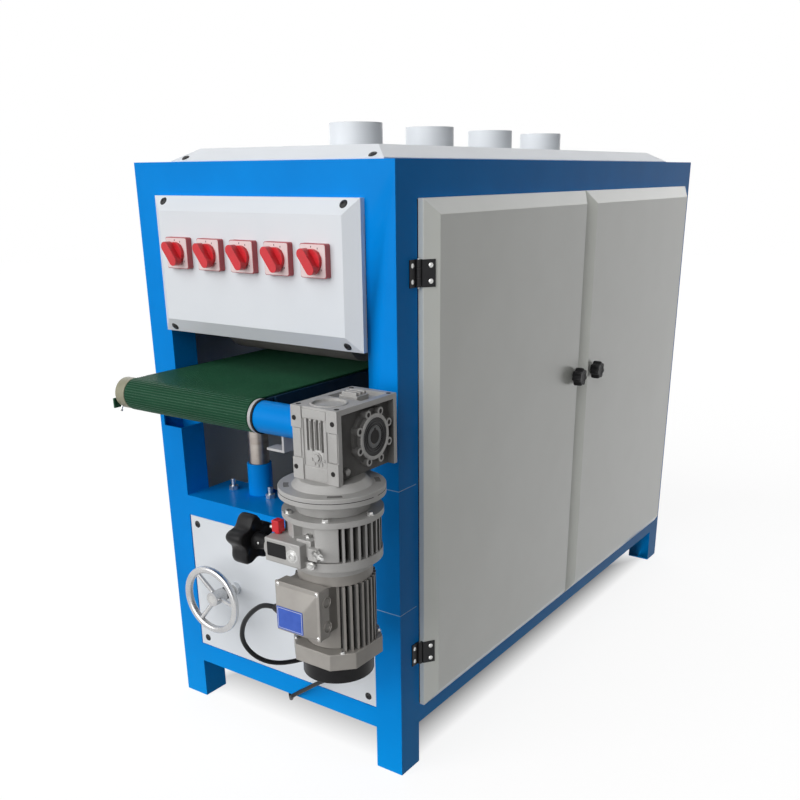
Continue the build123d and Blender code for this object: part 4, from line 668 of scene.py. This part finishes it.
def addBeltRibs(look):
    loop = []
    for axis, start in ((rollerAxis[0], 90), (look["rearAxis"], 270)):
        for i in range(look["bendSteps"] + 1):
            u, v = onRing(look["radius"], start + 180 * i / look["bendSteps"])
            loop.append((look["middle"], axis + u, rollerAxis[1] + v))
    holder, spline = newLine("beltLoop", "POLY", loop)
    spline.use_cyclic_u = True
    sizes = {name: look[name] * mm for name in ("Pitch", "Rib length", "Rib width", "Rib height")}
    ribs = runTree(holder, makeRibTree(sizes), {**sizes, "Finish": ribRubber}, "beltRibs")
    carry(ribs, "table")


addBeltRibs(beltLook)
print("belt ribbed")

# screws on the panels, set square to the bevels
screwLook = {
    "pitch": 34, "edge": 11, "rise": 19.3, "lean": (0.832, 0.5547), "joint": 2, "gap": (530, 961),
    "coverRise": 9, "coverLean": (0.4776, 0.8787), "flatInset": (22, 21),
    "head": ((0, 1), (2.4, 1), (3, 2.6), (5.5, 2.2), (7.8, 1.3), (9, 0), (9, -2),
             (0, -2)),
}


def boxInMm(nodeName):
    return [inMm(corner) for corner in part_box(nodeName)]


def panelScrewSpots(look):
    pitch, edge, rise = look["pitch"], look["edge"], look["rise"]
    face, tilt = look["lean"]
    coverTilt, coverFace = look["coverLean"]
    spots = []
    low, high = boxInMm("switch_panel")
    for x in (low.x + pitch, high.x - pitch):
        for z, lean in ((high.z - edge, tilt), (low.z + edge, -tilt)):
            spots.append(((x, -rise, z), (0, -face, lean)))
    low, high = boxInMm("left_side_panels")
    middle, apart = (low.y + high.y) / 2, pitch + look["joint"]
    for y in (low.y + pitch, middle - apart, middle + apart, high.y - pitch):
        for z, lean in ((high.z - edge, tilt), (low.z + edge, -tilt)):
            spots.append(((cabinet["left"] - rise, y, z), (-face, 0, lean)))
    low, high = boxInMm("rear_panels")
    for z in (low.z + pitch, look["gap"][0] - pitch, look["gap"][1] + pitch, high.z - pitch):
        for x, lean in ((low.x + edge, -tilt), (high.x - edge, tilt)):
            spots.append(((x, cabinet["depth"] + rise, z), (lean, face, 0)))
    low, high = boxInMm("top_cover")
    for x in (low.x + pitch, high.x - pitch):
        for y, lean in ((low.y + edge, -coverTilt), (high.y - edge, coverTilt)):
            spots.append(((x, y, cabinet["top"] + look["coverRise"]), (0, lean, coverFace)))
    low, high = boxInMm("lower_front_panel")
    aside, inside = look["flatInset"]
    for x in (low.x + aside, high.x - aside):
        for z in (low.z + inside, high.z - inside):
            spots.append(((x, low.y, z), toFront))
    return spots


panelScrews = spotPiece("panelScrews", panelScrewSpots(screwLook), blackSteel, "frame",
                        turned(screwLook["head"], 24))
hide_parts("panel_screws")
print("panel screws set")

# hinge screws: two in each leaf
hingeLook = {
    "spacing": 15, "fromEnd": 136.5, "frameLeaf": (352.5, 50), "doorLeaf": (372.9, 83.1),
    "doorAim": (0.832, -0.5547),
    "head": ((0, 0.8), (1.6, 0.8), (2, 2.3), (3.6, 1.9), (4.8, 0.7), (4.8, -0.6), (0, -0.6)),
}
smallScrew = turned(hingeLook["head"], 18)


def addHingeScrews(look):
    low, high = boxInMm("front_door")
    aimX, aimY = look["doorAim"]
    onFrame, onFront, onRear = [], [], []
    for middle in (low.z + look["fromEnd"], high.z - look["fromEnd"]):
        for z in (middle - look["spacing"], middle + look["spacing"]):
            x, y = look["frameLeaf"]
            onFrame += [((x, y, z), toRight), ((x, cabinet["depth"] - y, z), toRight)]
            x, y = look["doorLeaf"]
            onFront.append(((x, y, z), (aimX, aimY, 0)))
            onRear.append(((x, cabinet["depth"] - y, z), (aimX, -aimY, 0)))
    for name, spots, body in (("Frame", onFrame, "frame"), ("Front", onFront, "front_door"),
                              ("Rear", onRear, "rear_door")):
        spotPiece("hingeScrews" + name, spots, brightSteel, body, smallScrew)


addHingeScrews(hingeLook)
print("hinge screws set")

# rubber seals on the posts, behind the doors' outer edges; their black also stands in for the shade in the
# door gaps, as painted shade
sealLook = {"x": (337, 349.4), "y": (70, 79), "lip": 2, "easing": 2}


def addDoorSeals(look):
    low, high = boxInMm("front_door")
    first, last = look["y"]
    ySpans = (first, last), (cabinet["depth"] - last, cabinet["depth"] - first)
    zSpan = (low.z + look["lip"], high.z - look["lip"])
    seals = [(addBlock, look["x"], ySpan, zSpan) for ySpan in ySpans]
    newPiece("doorSeals", cordRubber, "frame", *seals, easing=look["easing"])


addDoorSeals(sealLook)
print("door seals set")

# switches: pale faces with small marks round the knobs
switchLook = {
    "places": (-188, -94, 0, 94, 188), "height": 1134, "face": -46, "half": 30.6, "corner": 4,
    "hole": 23.2, "sunk": -0.3, "proud": 0.8, "mark": (0.9, 1.7, 0.4), "markSpan": (-0.2, 0.15),
    "markRadius": 26.5, "markAngles": (132, 98, 62, -38),
}


def addHoledPlate(work, outer, inner, put, low, high):
    rings = [[work.verts.new(put(u, v, w)) for u, v in outline]
             for outline, w in ((outer, low), (outer, high), (inner, high), (inner, low))]
    for first, second in zip(rings, rings[1:] + rings[:1]):
        bridge(work, first, second)


def addSwitchFaces(look):
    face, height = look["face"], look["height"]
    outer = roundedSquare(look["half"], look["half"], look["corner"], 4)
    inner = []
    for u, v in outer:
        reach = look["hole"] / math.hypot(u, v)
        inner.append((u * reach, v * reach))
    plates = [(addHoledPlate, outer, inner, along((x, face, height), toFront), look["sunk"], look["proud"])
              for x in look["places"]]
    newPiece("switchFaces", switchFace, "frame", *plates)
    spots = []
    for x in look["places"]:
        for u, v in (onRing(look["markRadius"], angle) for angle in look["markAngles"]):
            spots.append(((x + u, face - look["proud"], height + v), toFront))
    mark = (addPrism, roundedSquare(*look["mark"], 2), along(origin, upwards), *look["markSpan"])
    spotPiece("switchMarks", spots, inkMark, "frame", mark)


addSwitchFaces(switchLook)
print("switches faced")

# worm gearbox: relief on the front, holes in the pads drawn as dark discs of painted shade, cover ring, seal
# and hollow shaft with its bore as painted shade
gearboxLook = {
    "front": -241, "plate": -238, "root": -237, "side": 391, "top": 907, "easing": 1.1,
    "relief": (  # x from and to, depth behind the front, z from and to
        (311.5, 365.5, 0.2, 886.5, 903), (288.5, 306.5, 0.8, 812.5, 865.5),
        (370.5, 389.5, 0.8, 812.5, 865.5), (312.5, 365.5, 1.2, 773.5, 798),
        (310.5, 313, 0.4, 800, 884.5), (364, 366.5, 0.4, 800, 884.5),
        (325.9, 329.1, 0.6, 831, 882), (336.9, 340.1, 0.6, 831, 882),
        (347.9, 351.1, 0.6, 831, 882)),
    "topBoss": (  # ribbed boss behind the round recess
        ((318, 352), (-134.2, -127.8), (897, 914.5)), ((318, 352), (-122.2, -115.8), (897, 914.5)),
        ((318, 352), (-110.2, -103.8), (897, 914.5)), ((314, 356), (-137, -101), (897, 908.5))),
    "plug": (344, 817), "plugHex": (6.6, 2, 6.5),
    "plugSeat": ((13, -2), (13, 0.4), (11, 1.4), (9, 1.4), (9, 3), (0, 3)),
    "webReach": 15, "webAngles": (200, 235, 270, 305, 340), "webHalf": (1.4, 3), "webRise": 1.6,
    "sideBoss": (376, -203, 786),
    "sideBossTurn": ((0, 8.5), (4, 8.5), (6.5, 7.2), (7, 5), (7, -1), (0, -1)),
    "topRing": ((30.2, -2), (30.2, 1.2), (31.2, 1.8), (33.6, 1.8), (34.6, 1), (34.6, -2)),
    "coverRing": ((36, -2), (36, 1.4), (37, 2), (41.5, 2), (43, 0.8), (43, -2)),
    "lobeReach": 48, "lobeCount": 8, "lobeStart": 22.5,
    "lobeRim": ((4.6, -2), (4.6, 1), (7.6, 1), (7.6, -2)),
    "seal": ((20.6, -1.5), (20.6, 0.6), (22.5, 1.2), (24.5, 0.2), (27, 1.2), (29.5, 0.2), (32, 0.9),
             (36, 0.5), (36, -1.5)),
    "shaft": ((13.2, -2), (13.2, 0.2), (14.2, 0.9), (19, 0.9), (20, 0.2), (20, -2)),
    "bore": ((0, 0.35), (13, 0.35), (13, -1), (0, -1)),
    "key": ((390, 392.1), (-135, -129), (849, 855)),
    "padHoles": ((293.6, 884), (380.8, 883), (293.2, 793), (379, 792)),
    "topHoles": ((295, -229), (295, -75), (382, -229), (382, -75)),
    "hole": ((0, 0.15), (3, 0.15), (4.7, 0.5), (4.7, -1), (0, -1)),
}


def addGearboxRelief(look):
    front, plate, root, (x, z) = look["front"], look["plate"], look["root"], look["plug"]
    relief = [(addBlock, (left, right), (front + depth, root), (low, high))
              for left, right, depth, low, high in look["relief"]]
    relief += [(addBlock, *spans) for spans in look["topBoss"]]
    newPiece("gearboxRelief", castAluminium, "table", *relief, easing=look["easing"])
    halfX, halfZ = look["webHalf"]
    webs = []  # a fan round the plug
    for u, v in (onRing(look["webReach"], angle) for angle in look["webAngles"]):
        webs.append((addBlock, (x + u - halfX, x + u + halfX), (plate - look["webRise"], root),
                     (z + v - halfZ, z + v + halfZ)))
    lobes = []
    for i in range(look["lobeCount"]):
        u, v = onRing(look["lobeReach"], look["lobeStart"] + 360 / look["lobeCount"] * i)
        lobes.append((look["side"], rollerAxis[0] + u, rollerAxis[1] + v))
    radius, low, high = look["plugHex"]
    ringAt = (look["side"], *rollerAxis)
    newPiece("gearboxFittings", castAluminium, "table",
             (addLathe, look["plugSeat"], (x, plate, z), toFront),
             (addPrism, hexagon(radius), along((x, plate, z), toFront), low, high), *webs,
             (addLathe, look["sideBossTurn"], look["sideBoss"], toRight, 28),
             (addRing, look["topRing"], (*unitAxis, look["top"]), upwards, 56),
             (addRing, look["coverRing"], ringAt, toRight, 56),
             *((addRing, look["lobeRim"], lobe, toRight, 20) for lobe in lobes))
    newPiece("gearboxSeal", blackPlastic, "table", (addRing, look["seal"], ringAt, toRight, 56))
    newPiece("hollowShaftEnd", castIron, "belt_drive", (addRing, look["shaft"], ringAt, toRight, 48))
    newPiece("hollowShaftBore", darkRecess, "belt_drive",
             (addLathe, look["bore"], ringAt, toRight), (addBlock, *look["key"]))
    spots = [((x, front, z), toFront) for x, z in look["padHoles"]]
    spots += [((x, y, look["top"]), upwards) for x, y in look["topHoles"]]
    spots += [(lobe, toRight) for lobe in lobes]
    spotPiece("gearboxHoles", spots, darkRecess, "table", turned(look["hole"], 20))


addGearboxRelief(gearboxLook)
print("gearbox detailed")

# black collar on the shaft behind the handwheel's hub
wheelLook = {"hubEnd": (-140, -45, 347),
             "collar": ((9, 0), (14.4, 0), (15.4, 1), (15.4, 13), (14.4, 14), (9, 14))}
newPiece("wheelCollar", blackPlastic, "handwheel",
         (addRing, wheelLook["collar"], wheelLook["hubEnd"], (0, 1, 0)))
print("handwheel collared")

# flange and variator: slots and rim line drawn as painted shade, hex bolts, smooth pads beside the fins
variatorLook = {
    "slots": (45, 135, 223, 312), "slotHalf": 9, "slotRadii": (80, 90), "slotSpan": (757, 758.25),
    "lineRadii": (99, 100.2), "lineAngles": (3.7, 356.3), "lineSpan": (748.9, 750.1), "lineSteps": 72,
    "discTop": 712, "boltRadius": 86, "boltAngles": (0, 60, 120, 180, 240, 300),
    "padBolt": (338, -266, 672.5), "finSpan": (633.5, 700.5), "padEasing": 1.6,
    "arcPads": (((60, 89.5), (286, 315)), ((60, 86), (226, 250))),
    "pads": (((322, 356), (-284, -252), (640, 672.5)),
             ((352, 374), (-290, -262), (638, 662))),
    "shieldTop": 445, "shieldBolts": (-56.5, 56.5), "shieldBoltSize": 0.7,
}
boltLook = {"hex": (6.2, 1.2, 5.6), "washer": ((0, 1.2), (8.2, 1.2), (8.2, -0.4), (0, -0.4)),
            "crown": ((0, 6.3), (4.2, 6.3), (5.4, 5.6), (0, 5))}


def hexBolt(look):
    radius, low, high = look["hex"]
    return ((addPrism, hexagon(radius), along(origin, upwards), low, high),
            turned(look["washer"], 20), turned(look["crown"], 18))


def onUnit(u, v, w):
    return unitAxis[0] + u, unitAxis[1] + v, w


def addVariatorDetail(look):
    half = look["slotHalf"]
    openings = [(addArc, look["slotRadii"], (angle - half, angle + half), onUnit, look["slotSpan"])
                for angle in look["slots"]]
    newPiece("flangeSlots", castShade, "table", *openings)
    newPiece("flangeLine", darkRecess, "table",
             (addArc, look["lineRadii"], look["lineAngles"], onUnit, look["lineSpan"], look["lineSteps"]))
    spots = [(onUnit(*onRing(look["boltRadius"], angle), look["discTop"]), upwards)
             for angle in look["boltAngles"]]
    spots.append((look["padBolt"], upwards))
    spotPiece("variatorBolts", spots, brightSteel, "table", *hexBolt(boltLook))
    pads = [(addArc, radii, angles, onUnit, look["finSpan"]) for radii, angles in look["arcPads"]]
    pads += [(addBlock, *spans) for spans in look["pads"]]
    newPiece("variatorPads", castAluminium, "table", *pads, easing=look["padEasing"])
    across = look["shieldBolts"]
    spots = [(onUnit(u, v, look["shieldTop"]), upwards) for u in across for v in across]
    spotPiece("motorBolts", spots, brightSteel, "table", *hexBolt(boltLook), size=look["shieldBoltSize"])


addVariatorDetail(variatorLook)
print("variator detailed")

# control box: bare black plate, plug, fittings and the red breather cap
controlLook = {
    "front": -302, "plate": (266.5, 312, 634, 661), "plateCorner": 2.5, "plateSpan": (-0.5, 0.9),
    "face": ((262.5, 631), (270, 623.5), (337, 623.5), (343.5, 630), (343.5, 648), (336, 659),
             (327, 660.5), (318, 666.5), (266, 666.5), (262.5, 662)),
    "faceSpan": (-2.5, 0.4), "easing": 1.2, "seatAt": (247, -270, 640),
    "seat": ((16.4, 0), (21, 0), (22.5, 2), (22.5, 14), (16.4, 14)),
    "fittings": (  # profile, place, direction and steps of the plug and two nipples
        (((0, 2), (3.4, 2), (4, 4.4), (8.2, 4.4), (9.2, 3.4), (9.2, 1.6), (12.6, 1.2), (13.4, 0.2),
          (13.4, -1), (0, -1)), (326, -302, 643.5), toFront, 36),
        (((0, 12), (4, 12), (4.6, 11), (4.6, 6), (7.6, 6), (7.6, 1), (5, 0), (0, 0)),
         (362, -288, 630.5), (0.1, -1, 0), 24),
        (((0, 10), (3.2, 10), (3.6, 9), (3.6, 3.5), (5.4, 3.5), (5.4, 0), (0, -2)),
         (260.5, -272, 677), (-1, -0.1, 0), 20)),
    "valveAt": (362, -284, 655), "valveAim": (0.9, -0.42, -0.05), "valveHex": (7.4, 6, 14),
    "valve": ((0, 36), (3, 36), (3.4, 35), (3.4, 27), (5.6, 26), (5.6, 18), (3.8, 17),
              (3.8, 14), (5, 13), (5, -4), (0, -4)),
    "breatherAt": (268.5, -272, 668), "breather": (9, 9, 2.5), "breatherSpan": (3, 26),
    "breatherNeck": ((0, 4), (7, 4), (7, -0.5), (0, -0.5)),
}


def addPlate(name, finish, look):  # a bare plate on the front of a box
    left, right, low, high = look["plate"]
    outline = roundedSquare((right - left) / 2, (high - low) / 2, look["plateCorner"], 3)
    put = along(((left + right) / 2, look["front"], (low + high) / 2), toFront)
    newPiece(name, finish, "table", (addPrism, outline, put, *look["plateSpan"]))


def addControlDetail(look):
    addPlate("controlPlate", blackPlastic, look)
    newPiece("controlFace", castAluminium, "table",
             (addPrism, look["face"], lambda x, z, out: (x, look["front"] - out, z), *look["faceSpan"]),
             (addRing, look["seat"], look["seatAt"], toRight), easing=look["easing"])
    newPiece("controlFittings", brightSteel, "table", *((addLathe, *turning) for turning in look["fittings"]))
    radius, low, high = look["valveHex"]
    valveAt, aim, capAt = look["valveAt"], look["valveAim"], look["breatherAt"]
    newPiece("variatorValve", brightSteel, "table",
             (addPrism, hexagon(radius), along(valveAt, aim), low, high),
             (addLathe, look["valve"], valveAt, aim, 24))
    cap = roundedSquare(*look["breather"], 4)
    newPiece("breatherCap", redPlastic, "table",
             (addPrism, cap, along(capAt, upwards), *look["breatherSpan"]),
             (addLathe, look["breatherNeck"], capAt, upwards, 24), easing=look["easing"])


addControlDetail(controlLook)
print("control box detailed")

# star knob of the variator: five rounded lobes, dished front, tapered neck
starLook = {
    "axis": (-270, 640), "back": 212, "front": 172, "reach": 50.5, "depth": 15, "lobes": 5, "steps": 80,
    "neck": ((0, -2), (17.5, -2), (17.5, 0), (16, 6), (13.5, 22), (15.5, 40), (15.5, 47),
             (6, 47.5), (6, 88), (0, 88)),
    "pinAt": (226, -284.6, 642), "pin": ((0, 1.2), (1.6, 1.2), (2.6, 0.6), (2.6, -2), (0, -2)),
}
lobeLook = {"power": 1.25, "layers": (  # share of the length from the back, share of the radius
    (0.1, 0.3), (0.06, 0.6), (0, 0.86), (0.03, 0.94), (0.12, 0.99), (0.3, 1), (0.7, 1), (0.88, 0.98),
    (0.97, 0.93), (1, 0.84), (0.95, 0.6), (0.9, 0.25)), "sharpAngle": 40}


def addLobes(work, look, y, z):
    rings = []
    for share, scale in lobeLook["layers"]:
        x = look["back"] - share * (look["back"] - look["front"])
        ring = []
        for i in range(look["steps"]):
            a = 2 * math.pi * i / look["steps"]
            wave = 0.5 + 0.5 * math.cos(look["lobes"] * (a - math.pi / 2))
            radius = (look["reach"] - look["depth"] * (1 - wave ** lobeLook["power"])) * scale
            ring.append(work.verts.new((x, y + radius * math.cos(a), z + radius * math.sin(a))))
        rings.append(ring)
    for low, high in zip(rings, rings[1:]):
        bridge(work, low, high)
    work.faces.new(rings[0])
    work.faces.new(rings[-1][::-1])


def addStarKnob(look):
    knob = newPiece("starKnob", blackPlastic, "variator_knob", (addLobes, look, *look["axis"]),
                    (addLathe, look["neck"], (look["back"], *look["axis"]), toRight),
                    sharpAngle=lobeLook["sharpAngle"])
    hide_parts("variator_knob")
    newPiece("starKnobPin", brightSteel, "variator_knob", (addLathe, look["pin"], look["pinAt"], toFront, 16))


addStarKnob(starLook)
print("star knob turned")

# caps over the door knobs: fluted all round
capLook = {"knobs": (("front_door_knob", 740), ("rear_door_knob", 850)), "height": 797,
           "back": 387.5, "front": 410.5, "reach": 23.4, "depth": 4.6, "lobes": 7, "steps": 98}
for body, y in capLook["knobs"]:
    newPiece(body + "Cap", blackPlastic, body, (addLobes, capLook, y, capLook["height"]),
             sharpAngle=lobeLook["sharpAngle"])
print("door knobs capped")

# terminal box: lid with its slopes to the top and right, bare blue plate, screws and knockouts
terminalLook = {
    "front": -310, "raised": (286.5, 353, 492.5, 541.5), "middle": (330, 534), "easing": 2.6,
    "sharpAngle": 18, "plate": (288.5, 351, 494, 540), "plateCorner": 1.5, "plateSpan": (-0.5, 0.7),
    "line": (291, 348.5, 496.5, 537.5), "lineHalf": 0.4, "lineSpan": (-310.9, -310.3),
    "rim": ((277.2, 382.8), (-299.5, -295), (483.2, 584.8)), "rimEasing": 1.2,
    "screws": ((283.5, 578.5), (376.5, 578.5), (376.5, 489.5), (283.5, 489.5)), "screwPlane": -298.6,
    "screwSize": 0.9, "knockouts": ((-277, 556.8), (-277, 507)), "side": 382,
    "knockout": ((0, -0.4), (5, -0.4), (5.6, 0.8), (7.4, 0.8), (8, 0), (9.4, 0), (10.4, 1.6),
                 (11.6, 1.2), (11.8, -1), (0, -1)),
}


def shiftLid(work):
    left, right, low, high = terminalLook["raised"]
    middleX, middleZ = terminalLook["middle"]
    for vert in work.verts:
        spot = inMm(vert.co)
        if spot.y < terminalLook["front"] + 1:
            spot.x = left if spot.x < middleX else right
            spot.z = low if spot.z < middleZ else high
            vert.co = place(spot)


def addTerminalDetail(look):
    dressNode("terminal_box", "table", motorPaint, look["easing"], look["sharpAngle"], shiftLid)
    addPlate("terminalPlate", blueEnamel, look)
    left, right, low, high = look["line"]
    half, ySpan = look["lineHalf"], look["lineSpan"]
    newPiece("terminalPlateLine", whitePaint, "table",
             *((addBlock, (x - half, x + half), ySpan, (low, high)) for x in (left, right)),
             *((addBlock, (left, right), ySpan, (z - half, z + half)) for z in (low, high)))
    newPiece("terminalLidRim", motorPaint, "table", (addBlock, *look["rim"]), easing=look["rimEasing"])
    spots = [((x, look["screwPlane"], z), toFront) for x, z in look["screws"]]
    spotPiece("terminalScrews", spots, brightSteel, "table", smallScrew, size=look["screwSize"])
    spots = [((look["side"], y, z), toRight) for y, z in look["knockouts"]]
    spotPiece("terminalKnockouts", spots, motorPaint, "table", turned(look["knockout"], 28))


addTerminalDetail(terminalLook)
print("terminal box dressed")

# small marks: the turning arrow by the handwheel, filler lines on the right post
markLook = {
    "arrow": (-172, 2, 326), "arcRadii": (9, 13.5), "arcAngles": (200, 30), "arcSteps": 12,
    "tipRadii": (17.5, 5, 11.25), "tipLength": 10, "span": (0.2, -0.25),
    "seams": (685.2, 404.6), "seamHalf": 0.9, "seamFront": ((280.5, 350.25), (-0.25, 0.3)),
    "seamSide": ((349.7, 350.25), (0.3, 62)),
}


def addMarks(look):
    x, y, z = look["arrow"]

    def onPanel(u, v, w):
        return x + u, y + w, z + v

    turn = look["arcAngles"][1]
    outer, inner, middle = (onRing(radius, turn) for radius in look["tipRadii"])
    point = Vector(middle) + Vector(onRing(look["tipLength"], turn - 90))
    newPiece("turningArrow", inkMark, "frame",
             (addArc, look["arcRadii"], look["arcAngles"], onPanel, look["span"], look["arcSteps"]),
             (addPrism, (outer, inner, point), onPanel, *look["span"]))
    half = look["seamHalf"]
    seams = [(addBlock, *spans, (height - half, height + half))
             for height in look["seams"] for spans in (look["seamFront"], look["seamSide"])]
    newPiece("postSeams", seamFiller, "frame", *seams)


addMarks(markLook)
print("marks drawn")

# floor and light
studio = {
    "floorRadius": 14, "floorSteps": 96, "floorDrop": 0.0005, "floorTone": (0.2, 0.2, 0.2), "floorLift": 0.88,
    "middle": (-0.028, 0.076), "half": (0.35, 0.795), "shadeEdge": (0.66, 0.97), "worldFill": 0.06,
    "lamps": (("softKey", 3.4, 76, (-0.12, -0.92, 0.36)), ("backFill", 1.3, 80, (-0.5, 0.8, 0.33))),
}


def seenRays(tree, span):  # span: for rays that light the object, for rays that see the backdrop
    rays = addNode(tree, "ShaderNodeLightPath").outputs
    seen = rays["Is Camera Ray"]
    for name in ("Is Glossy Ray", "Is Transmission Ray"):
        seen = addNode(tree, "ShaderNodeMath", {0: seen, 1: rays[name]}, operation="MAXIMUM").outputs[0]
    return remap(tree, seen, (0, 1), span)


def addWorld(look):
    world = bpy.data.worlds.new("studioWorld")
    bpy.context.scene.world = world
    tree = newNodeTree(world)
    sky = addNode(tree, "ShaderNodeBackground", {
        "Color": (1, 1, 1, 1), "Strength": seenRays(tree, (look["worldFill"], 1))})
    addNode(tree, "ShaderNodeOutputWorld", {"Surface": sky.outputs["Background"]})


def makeFloorFinish(look):  # lifted to white where it is seen, but not under the cabinet; the fade towards the cabinet's footprint is painted contact shadow
    finish = bpy.data.materials.new("paleFloor")
    tree = newNodeTree(finish)
    (midX, midY), (halfX, halfY) = look["middle"], look["half"]
    under = addNode(tree, "ShaderNodeMapping", {
        "Vector": addNode(tree, "ShaderNodeTexCoord").outputs["Object"],
        "Location": (-midX / halfX, -midY / halfY, 0), "Scale": (1 / halfX, 1 / halfY, 0)})
    apart = addNode(tree, "ShaderNodeVectorMath", {0: under.outputs["Vector"]}, operation="ABSOLUTE")
    sides = addNode(tree, "ShaderNodeSeparateXYZ", {"Vector": apart.outputs["Vector"]}).outputs
    edge = addNode(tree, "ShaderNodeMath", {0: sides["X"], 1: sides["Y"]}, operation="MAXIMUM")
    clear = remap(tree, edge.outputs[0], look["shadeEdge"], (0, 1))
    lift = addNode(tree, "ShaderNodeMath", {0: seenRays(tree, (0, look["floorLift"])), 1: clear},
                   operation="MULTIPLY")
    matt = addNode(tree, "ShaderNodeBsdfDiffuse", {"Color": (*look["floorTone"], 1)})
    glow = addNode(tree, "ShaderNodeEmission", {"Strength": lift.outputs[0]})
    both = addNode(tree, "ShaderNodeAddShader", {0: matt.outputs["BSDF"], 1: glow.outputs["Emission"]})
    addNode(tree, "ShaderNodeOutputMaterial", {"Surface": both.outputs["Shader"]})
    return finish


def addStudio(look):
    addWorld(look)
    work = bmesh.new()
    bmesh.ops.create_circle(work, cap_ends=True, segments=look["floorSteps"], radius=look["floorRadius"])
    mesh = meshFrom("studioFloor", work)
    mesh.materials.append(makeFloorFinish(look))
    floor = newObject("studioFloor", mesh)
    floor.location.z = -look["floorDrop"]
    for name, strength, spread, source in look["lamps"]:
        lampData = adjust(bpy.data.lights.new(name, "SUN"), energy=strength, angle=math.radians(spread))
        adjust(newObject(name, lampData), rotation_mode="QUATERNION",
               rotation_quaternion=Vector(source).to_track_quat("Z", "Y"))


addStudio(studio)
bpy.context.scene.view_settings.view_transform = "Standard"
print("studio lit")
